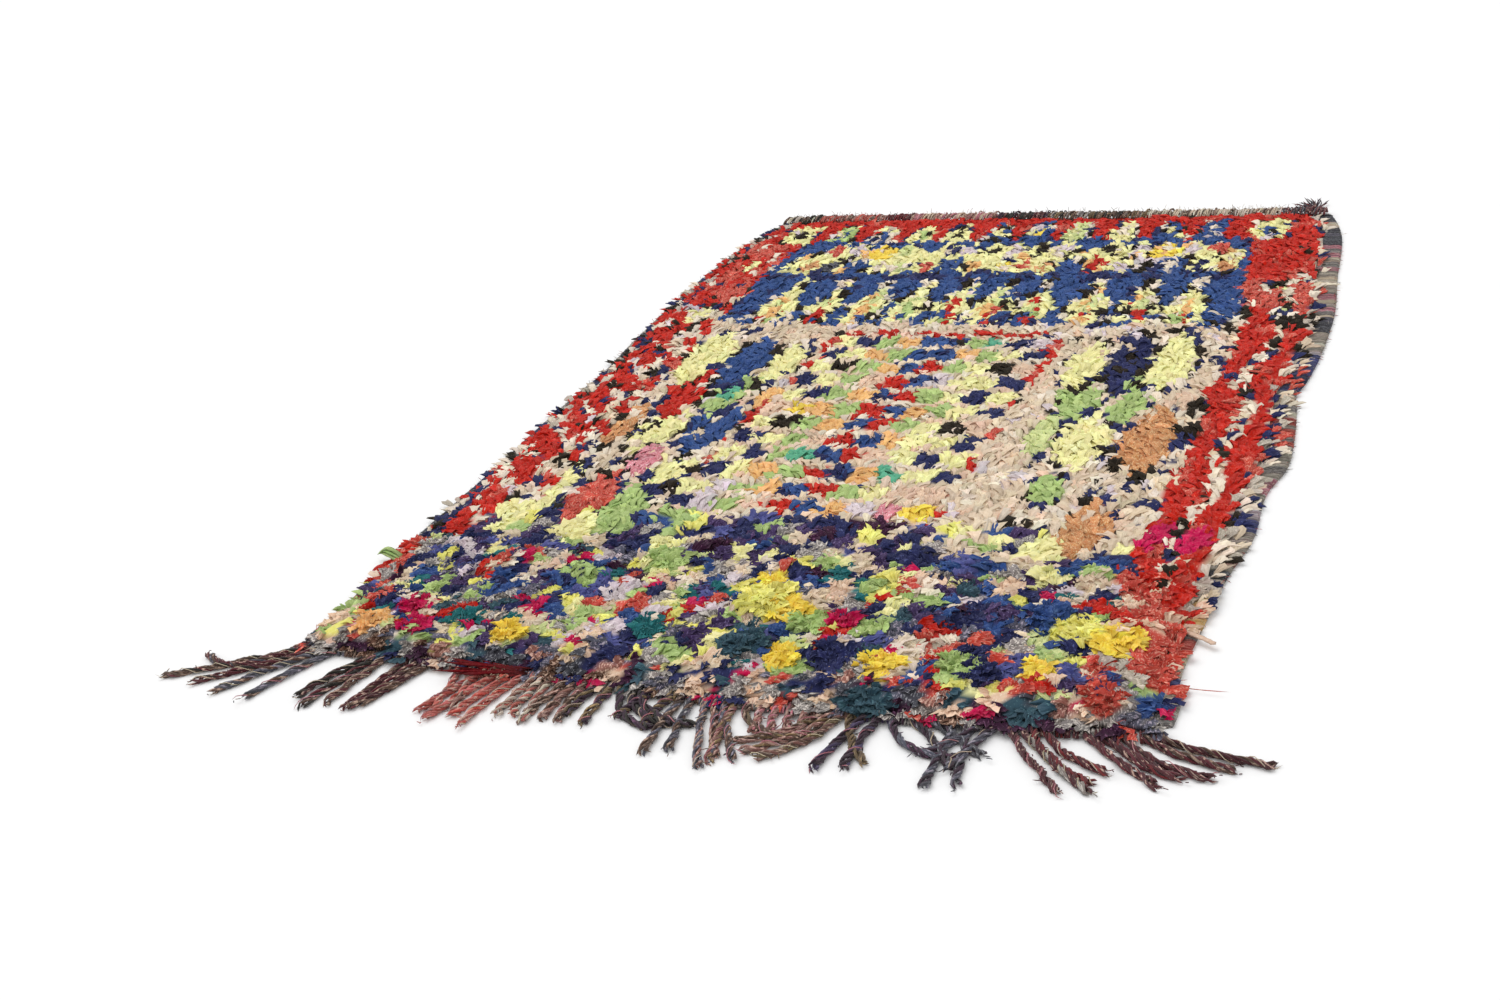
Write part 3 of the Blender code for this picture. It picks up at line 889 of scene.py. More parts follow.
@dataclass(frozen=True)
class ClothFinish:
    """One kind of cloth, built from the shared effects."""

    name: str
    surface: Surface
    roughness: float
    sheen: float
    # How much shade is painted at the roots of the rags
    root_shade: float
    tip_fade: float
    fleck_size: float
    relief: float
    # How much shade is painted in the grooves of a spun yarn
    painted_groove_shade: float = 0.45

    def build(self, effects: EffectGroups) -> Cloth:
        """Makes the material.

        Args:
            effects: The shared node groups.

        Returns:
            A material that reads the dye, fleck and lie attributes.
        """
        made = bpy.data.materials.new(self.name)
        made.use_nodes = True
        sheet = NodeSheet(made.node_tree)
        shader = made.node_tree.nodes["Principled BSDF"]
        dye = sheet.add("Attribute", {"attribute_name": "dye"})
        fleck = sheet.add("Attribute", {"attribute_name": "fleck"})
        lie = sheet.add("Attribute", {"attribute_name": "lie"}).outputs["Vector"]
        drifted = sheet.effect(effects.drift, Colour=dye.outputs["Color"], Lie=lie, Amount=0.06)
        flecked = sheet.effect(
            effects.melange,
            Colour=drifted["Colour"],
            Fleck=fleck.outputs["Color"],
            Lie=lie,
            Share=dye.outputs["Alpha"],
            Size=self.fleck_size,
        )
        # Painted shade at the roots; the tips are rubbed paler
        shaded = sheet.effect(
            effects.depth,
            Colour=flecked["Colour"],
            Share=fleck.outputs["Alpha"],
            Root=self.root_shade,
            Tip=self.tip_fade,
        )
        colour = shaded["Colour"]
        if self.surface is Surface.WOVEN:
            fine = sheet.effect(effects.weave, Lie=lie, Thread=0.0011)
            broad = sheet.effect(effects.crumple, Lie=lie, Size=0.007)
            height = sheet.math("ADD", broad["Height"], sheet.math("MULTIPLY", fine["Height"], 0.15))
        else:
            twist = sheet.effect(effects.ply, Lie=lie, Pitch=0.0024)
            height = twist["Height"]
            # Painted shade in the grooves between the fibres
            dark = sheet.math("MULTIPLY", twist["Mask"], self.painted_groove_shade)
            colour = sheet.mix(dark, colour, YARN_GROOVE_SHADE)
        bump = sheet.add("Bump", Height=height, Distance=self.relief, Strength=0.8)
        links = made.node_tree.links
        links.new(colour, shader.inputs["Base Color"])
        links.new(bump.outputs[0], shader.inputs["Normal"])
        shader.inputs["Roughness"].default_value = self.roughness
        shader.inputs["Sheen Weight"].default_value = self.sheen
        shader.inputs["Sheen Roughness"].default_value = 0.6
        shader.inputs["Specular IOR Level"].default_value = 0.1
        return made


RAG = ClothFinish("rag_cotton", Surface.WOVEN, 0.92, 0.02, 0.16, 0.02, 0.0022, 0.0007)
LOOSE_RAG = ClothFinish("crumpled_rag", Surface.WOVEN, 0.88, 0.02, 0.42, 0.02, 0.0026, 0.0012)
WRAP = ClothFinish("wrap_yarn", Surface.SPUN, 0.95, 0.20, 0.04, 0.00, 0.0026, 0.0008, 0.20)
YARN = ClothFinish("plied_yarn", Surface.SPUN, 0.95, 0.20, 0.05, 0.04, 0.0040, 0.0008)


@dataclass(frozen=True)
class Outline:
    """The rug's outline, read from the CAD frame."""

    sides: dict[str, np.ndarray]
    outer: dict[str, np.ndarray]
    surface: BVHTree

    @staticmethod
    def read(frame: dict) -> Outline:
        """Reads the field's rim, the selvedges' outer edges and the field's top.


        Returns:
            The outline.
        """
        mesh = frame["nodes"]["pile_field"].data
        points = np.array([vert.co for vert in mesh.vertices])
        floor = np.unique(np.round(points[points[:, 2] < 0.0005], 5), axis=0)
        middle, half = 0.5 * (floor.max(0) + floor.min(0)), 0.5 * (floor.max(0) - floor.min(0))
        place = (floor - middle)[:, :2] / half[:2]
        reach = 0.90
        picks = {
            "left": (place[:, 0] < -reach, 1),
            "right": (place[:, 0] > reach, 1),
            "front": (place[:, 1] < -0.96, 0),
            "back": (place[:, 1] > 0.96, 0),
        }
        sides = {}
        for name, (pick, key) in picks.items():
            rows = floor[pick]
            sides[name] = rows[np.argsort(rows[:, key])][:, [key, 1 - key]]
        outer = {}
        for name, way in (("left", -1.0), ("right", 1.0)):
            band = frame["nodes"]["selvedge_" + name].data
            spots = np.array([vert.co for vert in band.vertices])
            spots = spots[spots[:, 2] < 0.0005]
            steps = np.unique(np.round(spots[:, 1], 3))
            edge = [way * (way * spots[np.abs(spots[:, 1] - y) < 0.004, 0]).max() for y in steps]
            outer[name] = np.stack([steps, edge], axis=1)
        faces = [tuple(poly.vertices) for poly in mesh.polygons]
        return Outline(sides, outer, BVHTree.FromPolygons(points.tolist(), faces))

    def edge(self, name: str, at: np.ndarray | float) -> np.ndarray:
        """Where one side of the field lies at places along it."""
        rows = self.sides[name]
        return np.interp(at, rows[:, 0], rows[:, 1])

    def selvedge(self, name: str, y: np.ndarray | float) -> np.ndarray:
        """Where the outer edge of a selvedge lies."""
        rows = self.outer[name]
        return np.interp(y, rows[:, 0], rows[:, 1])

    def place(self, u: np.ndarray, v: np.ndarray) -> tuple[np.ndarray, np.ndarray]:
        """Places of the field from shares across it and along it."""
        flat = -0.70 + 1.40 * u
        front, back = self.edge("front", flat), self.edge("back", flat)
        y = front + (back - front) * v
        left, right = self.edge("left", y), self.edge("right", y)
        return left + (right - left) * u, y

    def height(self, x: np.ndarray, y: np.ndarray) -> np.ndarray:
        """The top of the CAD field over places on the floor, or a low rim outside it."""
        found = np.full(len(x), 0.011)
        down = Vector((0.0, 0.0, -1.0))
        for i, (across, up) in enumerate(zip(x, y)):
            hit = self.surface.ray_cast(Vector((across, up, 0.2)), down)[0]
            if hit is not None:
                found[i] = hit.z
        return found


@dataclass
class PileChart:
    """Says which rag is knotted at each place of the field."""

    outline: Outline
    random: np.random.Generator
    front_from: float = -0.775
    mixed_from: float = -0.610
    row_pitch: float = 0.0715
    top_row: float = 0.215
    spot_size: tuple[float, float] = (0.019, 0.036)
    belt_patch: tuple[float, float] = (0.034, 0.032)
    corner_patch: tuple[float, float] = (0.036, 0.036)
    last_patch: tuple[float, float] = (0.030, 0.024)
    front_patch: tuple[float, float] = (0.028, 0.024)
    last_from: float = -1.095
    arches_from: float = 0.895
    lozenges_from: float = 0.640
    trees_from: float = 0.305
    left_width: float = 0.155
    right_width: float = 0.150
    arch_inset: float = 0.035
    upper_row: float = 0.818
    lower_row: float = 0.704
    row_split: float = 0.762
    lozenge_half: tuple[float, float] = (0.028, 0.060)
    frame_top: float = 0.252
    cells: dict[tuple, Dye] = field(default_factory=dict)
    rolls: dict[tuple, float] = field(default_factory=dict)
    spot: tuple = ()
    turn: int = 0

    def chance(self) -> float:
        """A number from 0 to 1, the same for all knots of one small spot."""
        self.turn += 1
        key = (*self.spot, self.turn)
        if key not in self.rolls:
            self.rolls[key] = float(self.random.random())
        return self.rolls[key]

    def pick(self, choices: str | tuple[Dye, ...]) -> Dye:
        """One of the dyes, or of the dyes named, with equal chances."""
        lots = dyes(choices) if isinstance(choices, str) else choices
        return lots[int(self.chance() * len(lots))]

    def dyes_at(self, x: np.ndarray, y: np.ndarray) -> list[Dye]:
        """The dye for each of a batch of knots.

        Args:
            x: Places across the rug.
            y: Places along it.

        Returns:
            One dye for each knot.
        """
        left = self.outline.edge("left", y)
        right = self.outline.edge("right", y)
        shift = self.random.normal(0.0, 0.0028, (len(x), 2))
        made = []
        for i in range(len(x)):
            place = Vector((float(x[i]), float(y[i]), 0.0))
            streak = Vector((place.x / 0.020, place.y / 0.070, 1.0))
            across = place.x + shift[i, 0] + 0.009 * noise.noise(place / 0.035)
            along = place.y + shift[i, 1] + self.wander(place.x, place.y) * noise.noise(streak)
            self.spot = self.cell(across, along, *self.spot_size, 0)
            self.turn = 0
            made.append(self.dye(across, along, across - left[i], right[i] - across))
        return made

    def wander(self, x: float, y: float) -> float:
        """How far the pattern's outlines run off their line along the rug."""
        if y > 0.300:
            return 0.014
        panel = self.mixed_from < y and -0.320 < x < 0.250
        return 0.004 if panel else 0.022

    def dye(self, x: float, y: float, from_left: float, from_right: float) -> Dye:
        """The dye at one place.

        Args:
            x: Place across the rug.
            y: Place along it.
            from_left: Distance from the left rim of the field.
            from_right: Distance from the right rim.

        Returns:
            The dye.
        """
        if y < self.front_from + 0.05 * noise.noise(Vector((x / 0.12, 0.0, 4.0))):
            return self.front(x, y, from_left, from_right)
        if y < self.mixed_from and -0.60 < x < 0.56:
            return self.mixed(x, y)
        if y > self.arches_from and min(from_left, from_right) > self.arch_inset:
            return self.arches(x, y)
        if from_left < self.left_width:
            return self.left_border(y, from_left)
        if from_right < self.right_width:
            return self.right_border(y, from_right)
        if y > self.lozenges_from:
            return self.lozenge_band(x, y)
        if y > self.trees_from:
            return self.trees(x, y)
        return self.middle(x, y)

    def ground(self) -> Dye:
        """Pale ground with stray dark and lilac knots."""
        roll = self.chance()
        if roll < 0.045:
            return self.pick("BLACK NAVY BLACK")
        if roll < 0.10:
            return Dye.LILAC
        if roll < 0.26:
            return Dye.CREAM
        if roll < 0.38:
            return Dye.PEACH
        return Dye.BEIGE

    def arches(self, x: float, y: float) -> Dye:
        """The red border along the back with its row of arches."""
        motif = min(ARCHES, key=lambda row: abs(row.x - x))
        rise = (y - 0.900) / 0.130
        away = abs(x - motif.x)
        corner = motif is ARCHES[0] or motif is ARCHES[-1]
        half = 0.040 if corner else 0.034 - 0.018 * rise
        if rise > 1.0 or rise < -0.05:
            return Dye.RED if self.chance() < 0.78 else self.pick("CORAL RED BLACK")
        if away < half * 0.34 and 0.20 < rise < 0.70:
            return motif.heart
        if away < half:
            return motif.dye if self.chance() < 0.72 else self.pick("LEMON BLACK LILAC")
        if away < half + 0.009:
            return self.pick("BLACK RED NAVY CREAM")
        return Dye.RED if self.chance() < 0.86 else Dye.CORAL

    def lozenge_band(self, x: float, y: float) -> Dye:
        """Two rows of yellow-edged lozenges on blue."""
        upper = min(UPPER_LOZENGES, key=lambda row: abs(row.x - x))
        lower = min(LOWER_LOZENGES, key=lambda row: abs(row.x - x))
        if y > self.row_split:
            motif, tall = upper, abs(y - self.upper_row)
        else:
            motif, tall = lower, abs(y - self.lower_row)
        size = abs(x - motif.x) / self.lozenge_half[0] + tall / self.lozenge_half[1]
        if abs(x) > 0.545:
            return Dye.BLUE if self.chance() < 0.85 else Dye.NAVY
        if size < 0.78:
            return motif.heart if self.chance() < 0.90 else Dye.CREAM
        if y > self.upper_row and size > 1.20:
            return Dye.BLUE if self.chance() < 0.88 else Dye.NAVY
        if y < 0.672 and size > 1.05:
            return Dye.NAVY if self.chance() < 0.4 else Dye.BLUE
        if self.chance() < 0.24:
            return self.pick("BLACK CREAM NAVY BLACK ORANGE")
        return motif.dye

    def trees(self, x: float, y: float) -> Dye:
        """A row of yellow combs on blue under a navy stripe, and the pale line below."""
        if y > 0.612:
            return Dye.NAVY if self.chance() < 0.7 else Dye.BLUE
        if y < 0.332:
            blobs = abs(((x + 0.045) / 0.104) % 1.0 - 0.5)
            if blobs < 0.20 and y > 0.318:
                return Dye.BLUE
            return self.ground()
        motif = min(TREES, key=lambda row: abs(row.x - x))
        fall = (0.606 - y) / 0.285
        away = abs(x - motif.x)
        half = 0.007 + 0.036 * min(1.0, max(0.0, fall - 0.22) / 0.42)
        if fall < 0.18:
            if away < 0.016:
                return self.pick("BLACK CREAM LEMON")
            return Dye.BLUE
        if fall > 0.72:
            if away < 0.014:
                return self.pick((Dye.RED, Dye.GREEN, motif.heart, Dye.BLUE))
            if away < 0.034 and self.chance() < 0.70:
                return motif.dye
            return self.pick("BLUE BLUE BLACK NAVY CREAM")
        if away < 0.013 and fall > 0.42:
            return self.pick((motif.heart, motif.heart, Dye.RED, Dye.PALE_GREEN))
        if away < half:
            strays = (Dye.ORANGE, Dye.CREAM, Dye.BLACK, Dye.PALE_GREEN)
            return motif.dye if self.chance() < 0.74 else self.pick(strays)
        if away < half + 0.013:
            return self.pick("BLACK CREAM BLACK BLUE")
        return Dye.BLUE if self.chance() < 0.93 else Dye.NAVY

    def middle(self, x: float, y: float) -> Dye:
        """The centre panel and the lozenges at both of its sides."""
        down = (0.25 - y) / 0.86
        centre = -0.050 * max(0.0, down)
        half = 0.237 + 0.012 * down
        away = (x - centre) / half
        if y < self.frame_top and abs(away) < 1.0:
            return self.panel(away, y)
        if 0.254 < y < 0.276 and abs(away) < 1.0:
            return Dye.RED if self.chance() < 0.85 else self.ground()
        sides = y < self.frame_top and abs(away) < 1.07
        if sides and self.chance() < (0.72 if y > 0.0 else 0.35):
            return self.pick("RED CORAL")
        for lozenge in LOZENGES:
            wide = abs(x - lozenge.x) / lozenge.half_width
            tall = abs(y - lozenge.y) / lozenge.half_height
            size = wide**1.5 + tall**1.5
            if size < 0.22 and lozenge.heart is not None:
                return lozenge.heart
            if size < 1.0:
                return lozenge.dye if self.chance() < 0.95 else self.ground()
            if size < 1.60 and self.chance() < 0.58:
                return self.pick("BLACK NAVY BLACK NAVY CREAM")
        return self.ground()

    def panel(self, away: float, y: float) -> Dye:
        """Rows of small blocks that mirror each other about a blue and red middle.

        Args:
            away: Share of the panel's half width, from -1 to 1.
            y: Place along the rug.

        Returns:
            The dye.
        """
        step = (self.top_row + 0.5 * self.row_pitch - y) / self.row_pitch
        row = int(math.floor(step))
        within = abs(step - row - 0.5)
        columns = PANEL_ROWS[row % len(PANEL_ROWS)]
        spot = 0.5 * (away + 1.0) * len(columns)
        column = min(len(columns) - 1, max(0, int(spot)))
        off = abs(spot - column - 0.5)
        if within > 0.36:
            return self.pick("BEIGE PEACH BEIGE CREAM")
        if off > 0.45 and within > 0.26:
            return self.ground()
        dye = columns[column]
        if dye is None:
            first = (column < len(columns) // 2) == (row % 2 == 0)
            return self.pick("BLUE NAVY BLUE") if first or row < 2 else Dye.RED
        key = (9, row, column)
        if key not in self.cells:
            strays = (Dye.GOLD, Dye.SEA_GREEN, Dye.PEACH, Dye.ROSE, Dye.LILAC)
            self.cells[key] = self.pick(strays) if self.chance() < 0.12 else dye
        return self.cells[key]

    def left_border(self, y: float, inset: float) -> Dye:
        """The red border down the left side, flecked with navy and cream."""
        slant = y + 1.4 * inset
        if inset < 0.022:
            return self.pick("NAVY TAUPE RED BLACK CREAM RED")
        if y > 0.480:
            if math.hypot((inset - 0.085) / 0.016, (y - 0.72) / 0.030) < 1.0:
                return Dye.LEMON
            roll = self.chance()
            if roll < 0.16:
                return self.pick("BLACK NAVY CREAM CREAM")
            return Dye.CORAL if roll < 0.60 else Dye.RED
        if math.hypot((inset - 0.095) / 0.040, (y - 0.37) / 0.045) < 1.0:
            return self.pick("PALE_LEMON CREAM LEMON")
        beat = (slant / 0.118) % 1.0
        if inset < 0.092:
            if beat < 0.26:
                return self.pick("NAVY BLACK CREAM CREAM LILAC")
            return Dye.RED if self.chance() < 0.88 else self.pick("CORAL NAVY")
        if inset < 0.118:
            return self.pick("CREAM BLACK NAVY BEIGE RED")
        if beat < 0.42:
            return Dye.RED if self.chance() < 0.85 else Dye.CORAL
        return self.pick("CREAM BEIGE BLACK NAVY BEIGE")

    def right_border(self, y: float, inset: float) -> Dye:
        """The red border down the right side with its wandering pale line."""
        if inset < 0.008:
            return self.pick("NAVY CREAM BLACK TAUPE BEIGE CORAL")
        if math.hypot(inset - 0.040, y - 0.350) < 0.030:
            return Dye.BLACK
        flecked = abs(y - 0.640 + 0.8 * inset) < 0.030 or abs(y - 0.330 - 1.1 * inset) < 0.024
        if flecked and self.chance() < 0.62:
            return self.pick("CREAM BLACK NAVY CREAM")
        if 0.42 < y < 0.56 and 0.040 < inset < 0.070:
            return self.pick("CREAM PALE_GREEN BLACK CORAL")
        if y > 0.430:
            roll = self.chance()
            if roll < 0.08:
                return self.pick("BLACK CREAM NAVY")
            return Dye.CORAL if roll < 0.40 or 0.36 < y < 0.60 else Dye.RED
        line = 0.060 + 0.014 * math.sin(y / 0.055) + 0.010 * noise.noise(Vector((y / 0.05, 2, 5)))
        if abs(inset - line) < 0.011:
            return self.pick("CREAM BLACK NAVY CREAM BEIGE")
        if inset > 0.122:
            return self.pick("CREAM BLACK BEIGE NAVY BEIGE")
        if (y + 0.615) ** 2 + (inset - 0.075) ** 2 < 0.0036:
            return Dye.CRIMSON if self.chance() < 0.7 else Dye.CORAL
        roll = self.chance()
        if roll < 0.05:
            return self.pick("BLACK NAVY")
        return Dye.CORAL if roll < 0.24 else Dye.RED

    def cell(self, x: float, y: float, wide: float, tall: float, layer: int) -> tuple:
        """The nearest of a field of scattered cell middles.

        Args:
            x: Place across the rug.
            y: Place along it.
            wide: Cell width.
            tall: Cell height.
            layer: Number that keeps this field apart from others.

        Returns:
            The cell's key.
        """
        column, row = math.floor(x / wide), math.floor(y / tall)
        best, chosen = 9.0, (layer, column, row)
        for i in range(column - 1, column + 2):
            for j in range(row - 1, row + 2):
                spot = noise.cell_vector(Vector((i + 0.5, j + 0.5, layer + 0.5)))
                away = math.hypot(x / wide - i - 0.1 - 0.8 * spot.x, y / tall - j - 0.1 - 0.8 * spot.y)
                if away < best:
                    best, chosen = away, (layer, i, j)
        return chosen

    def patch(self, key: tuple, choices: str) -> Dye:
        """The dye that a cell keeps once it has been picked."""
        if key not in self.cells:
            self.cells[key] = self.pick(choices)
        return self.cells[key]

    def mixed(self, x: float, y: float) -> Dye:
        """The belt where the pattern breaks up into small patches."""
        for lozenge in LOZENGES:
            wide = abs(x - lozenge.x) / lozenge.half_width
            tall = abs(y - lozenge.y) / lozenge.half_height
            if wide + tall < 1.1:
                return lozenge.dye
        return self.patch(self.cell(x, y, *self.belt_patch, 1), BELT_DYES)

    def front(self, x: float, y: float, from_left: float, from_right: float) -> Dye:
        """The coarse front third: rags of every colour, the big ones by name.

        Args:
            x: Place across the rug.
            y: Place along it.
            from_left: Distance from the left rim of the field.
            from_right: Distance from the right rim.

        Returns:
            The dye.
        """
        for rag in BIG_RAGS:
            if math.hypot(x - rag.x, y - rag.y) < rag.reach:
                return rag.dye
        if from_right < 0.100 and y > -1.04:
            return self.patch(self.cell(x, y, *self.corner_patch, 2), CORNER_DYES)
        if from_left < 0.035 and y > -0.92:
            return self.pick("CORAL RED BEIGE GREY")
        if y < self.last_from:
            return self.patch(self.cell(x, y, *self.last_patch, 3), LAST_DYES)
        return self.patch(self.cell(x, y, *self.front_patch, 4), FRONT_DYES)


@dataclass(frozen=True)
class RagCut:
    """How one kind of rag is cut, pleated and laid; lengths in metres, fans in radians."""

    columns: int
    rows: int
    length: tuple[float, float]
    half_width: tuple[float, float]
    fan: tuple[float, float]
    pleat: tuple[float, float]
    jag: float
    fall: float
    foot: float
    spread: float


FIELD_RAG = RagCut(
    columns=4,
    rows=4,
    length=(0.034, 0.050),
    half_width=(0.0034, 0.0058),
    fan=(0.05, 0.18),
    pleat=(0.0004, 0.0011),
    jag=0.09,
    fall=0.0032,
    foot=0.0050,
    spread=0.30,
)
LOWER_RAG = RagCut(
    columns=5,
    rows=3,
    length=(0.026, 0.042),
    half_width=(0.0030, 0.0064),
    fan=(0.08, 0.26),
    pleat=(0.0005, 0.0015),
    jag=0.12,
    fall=0.0036,
    foot=0.0060,
    spread=1.0,
)
FRONT_RAG = RagCut(
    columns=8,
    rows=3,
    length=(0.020, 0.040),
    half_width=(0.0044, 0.0105),
    fan=(0.10, 0.36),
    pleat=(0.0010, 0.0024),
    jag=0.10,
    fall=0.0050,
    foot=0.0085,
    spread=1.3,
)


@dataclass
class RagBatch:
    """Where a batch of rags is knotted, how each one leans, and its length, dye and top."""

    x: np.ndarray
    y: np.ndarray
    lean: np.ndarray
    length: np.ndarray
    dyes: list[Dye]
    top: np.ndarray


@dataclass
class RagPile:
    """The knotted pile: pleated rags in rows over a packed bed, and ruffled ones in front."""

    outline: Outline
    chart: PileChart
    random: np.random.Generator
    field_pitch: tuple[float, float] = (0.0240, 0.0069)
    lower_pitch: tuple[float, float] = (0.0180, 0.0105)
    front_pitch: tuple[float, float] = (0.0180, 0.0130)
    bed_depth: float = 0.0034
    bed_bottom: float = 0.0038
    edge_reach: float = 0.034
    back_margin: float = 0.026
    left_overlap: float = 0.26
    right_overlap: tuple[tuple[float, ...], ...] = (
        (-1.1, 0.1, 0.4, 1.1),
        (0.50, 0.42, 0.14, 0.10),
    )
    away: float = 3.36
    highest: float = 0.0405
    ruffle_count: int = 13
    shown: float = 0.66

    def knots(
        self, row_pitch: float, column_pitch: float, low: float, high: float
    ) -> tuple[np.ndarray, np.ndarray]:
        """Places of the knots between two heights of the rug.

        Args:
            row_pitch: Distance between rows.
            column_pitch: Distance between knots of a row.
            low: The lowest y.
            high: The highest y.

        Returns:
            Places across and along the rug.
        """
        rows, columns = int(2.23 / row_pitch), int(1.44 / column_pitch)
        v, u = np.meshgrid(
            (np.arange(rows) + 0.5) / rows, (np.arange(columns) + 0.5) / columns, indexing="ij"
        )
        u = u + (np.arange(rows) % 2)[:, None] * 0.5 / columns
        u = 1.06 * (u - 0.5) + 0.5 + self.random.normal(0.0, 0.30, u.shape) / columns
        v = v + self.random.uniform(-0.5, 0.5, v.shape) / rows
        x, y = self.outline.place(u.ravel(), np.clip(v, 0.0, 1.0).ravel())
        inside = (y >= low) & (y < high) & (y < self.outline.edge("back", x) - self.back_margin)
        lot = self.random.random(len(x)) ** 0.7
        for name, way, cover in (
            ("left", -1.0, self.left_overlap),
            ("right", 1.0, np.interp(y, *self.right_overlap)),
        ):
            inner = self.outline.edge(name, y)
            rim = inner + cover * lot * (self.outline.selvedge(name, y) - inner)
            inside &= way * x < way * rim
        return x[inside], y[inside]

    def headings(self, x: np.ndarray, y: np.ndarray, spread: float) -> np.ndarray:
        """The way each rag leans, in radians to the right of straight to the front.

        Args:
            x: Places across the rug.
            y: Places along it.
            spread: How widely the leans scatter.

        Returns:
            The leans.
        """
        swirl = [noise.noise(Vector((a / 0.10, b / 0.10, 3.0))) for a, b in zip(x, y)]
        lean = self.away + 0.9 * np.array(swirl) + self.random.normal(0.0, spread, len(x))
        left = ease(1.0 - (x - self.outline.edge("left", y)) / self.edge_reach)
        right = ease(1.0 - (self.outline.edge("right", y) - x) / self.edge_reach)
        front = ease(1.0 - (y - self.outline.edge("front", x)) / (1.6 * self.edge_reach))
        out = 1.8 * np.interp(y, *self.right_overlap)
        across = np.sin(lean) + out * right - 0.45 * left
        return np.arctan2(across, np.cos(lean) + 2.2 * front)

    def batch(self, cut: RagCut, pitches: tuple[float, float], low: float, high: float) -> RagBatch:
        """Knots one kind of rag over a part of the field.

        Args:
            cut: The kind of rag.
            pitches: Distance between rows, and between the knots of a row.
            low: The lowest y.
            high: The highest y.

        Returns:
            The batch, dyed by the chart where the middle of each rag lies.
        """
        x, y = self.knots(*pitches, low, high)
        lean = self.headings(x, y, cut.spread)
        length = self.random.uniform(*cut.length, len(x))
        middle_x = x + np.sin(lean) * self.shown * length
        middle_y = y - np.cos(lean) * self.shown * length
        top = self.outline.height(middle_x, middle_y) + self.random.normal(0.0, 0.0013, len(x))
        return RagBatch(x, y, lean, length, self.chart.dyes_at(middle_x, middle_y), top)

    def add_rags(self, store: ClothStore, cut: RagCut, batch: RagBatch) -> None:
        """Adds rags: pleated fans with torn tips that rise from their knots and lie over.

        Args:
            store: Where the shapes go.
            cut: The kind of rag.
            batch: Where they lie.
        """
        columns, rows, count = cut.columns, cut.rows, len(batch.x)
        random = self.random
        t = np.linspace(0.0, 1.0, rows)[None, :, None]
        q = np.linspace(-1.0, 1.0, columns)[None, None, :]
        lean, length = batch.lean[:, None, None], batch.length[:, None, None]
        angle = lean + random.uniform(*cut.fan, (count, 1, 1)) * q * (0.6 + 0.4 * t)
        angle = angle + random.normal(0.0, 0.18, (count, 1, 1)) * t**2
        jag = 1.0 + random.normal(0.0, cut.jag, (count, 1, columns)) * t**2
        curl = random.uniform(0.0, 1.0, (count, 1, 1))
        reach = length * jag * (0.20 + 0.72 * t - 0.08 * curl * t**3)
        sides = np.where(np.arange(columns) % 2, 1.0, -1.0)
        fold = sides * random.uniform(0.4, 1.6, (count, 1, columns))
        depth = random.uniform(*cut.pleat, (count, 1, 1)) * (0.55 + 0.45 * np.sin(math.pi * t))
        half = random.uniform(*cut.half_width, (count, 1, 1)) * (0.55 + 0.45 * t) * q
        top = np.minimum(batch.top, self.highest)[:, None, None]
        rise = cut.foot * (np.sin(np.minimum(1.0, t / 0.5) * math.pi / 2) - 1.0)
        dome = 0.0016 * q**2 * random.uniform(-0.4, 1.0, (count, 1, 1))
        tilt = random.normal(0.0, 0.0008, (count, 1, 1)) * q
        z = top + rise - dome + tilt - cut.fall * (curl - 0.3) * ease((t - 0.5) / 0.5) + fold * depth
        shift = random.normal(0.0, 0.0010, (3, count, rows, columns)) * t
        x = batch.x[:, None, None] + np.sin(angle) * reach + np.cos(lean) * half + shift[0]
        y = batch.y[:, None, None] - np.cos(angle) * reach + np.sin(lean) * half + shift[1]
        z = np.maximum(z + 0.8 * shift[2], 0.0030)
        grid = np.stack([x, y, z], axis=3).reshape(count, rows * columns, 3)
        keel = np.stack(
            [
                batch.x + np.sin(batch.lean) * 0.45 * batch.length,
                batch.y - np.cos(batch.lean) * 0.45 * batch.length,
                np.maximum(np.minimum(batch.top, self.highest) - cut.foot - 0.0022, 0.0022),
            ],
            axis=1,
        )
        points = np.concatenate([grid, keel[:, None]], axis=1)
        # Near the root the share sets the painted shade; the keel under each rag gets the most
        share = np.repeat(0.30 + 0.70 * t, columns, axis=2).reshape(1, -1)
        share = np.repeat(np.concatenate([share, [[0.0]]], axis=1), count, axis=0)
        cloth_x = np.broadcast_to(q * t * 0.4, (count, rows, columns)).reshape(count, -1)
        cloth_x = np.concatenate([cloth_x, np.zeros((count, 1))], axis=1) * batch.length[:, None]
        seed = np.repeat(random.random(count)[:, None], rows * columns + 1, axis=1)
        lie = np.stack([cloth_x, share * batch.length[:, None], seed], axis=2)
        colours = DyeRows.mixed(batch.dyes, random, uneven=0.11, tint=0.02)
        store.add(Template.petal(columns, rows), points, colours, share, lie)

    def ruffles(self) -> RagBatch:
        """The big rags: each a heap of ruffles that lean out from all over its patch."""
        spots, leans, lengths, dyes, lifts = [], [], [], [], []
        for rag in BIG_RAGS:
            for i in range(self.ruffle_count):
                away = 0.72 * rag.reach * math.sqrt(i / self.ruffle_count)
                turn = i * 2.4 + self.random.normal(0.0, 0.3)
                spots.append((rag.x + math.sin(turn) * away, rag.y - math.cos(turn) * away))
                leans.append(turn + self.random.normal(0.0, 0.9))
                lengths.append(self.random.uniform(0.45, 0.80) * max(rag.reach, 0.034))
                dyes.append(rag.dye)
                lifts.append(0.0048 - 0.0036 * i / self.ruffle_count)
        x, y = np.array(spots).T
        top = self.outline.height(x, y) + np.array(lifts)
        return RagBatch(x, y, np.array(leans), np.array(lengths), dyes, top)

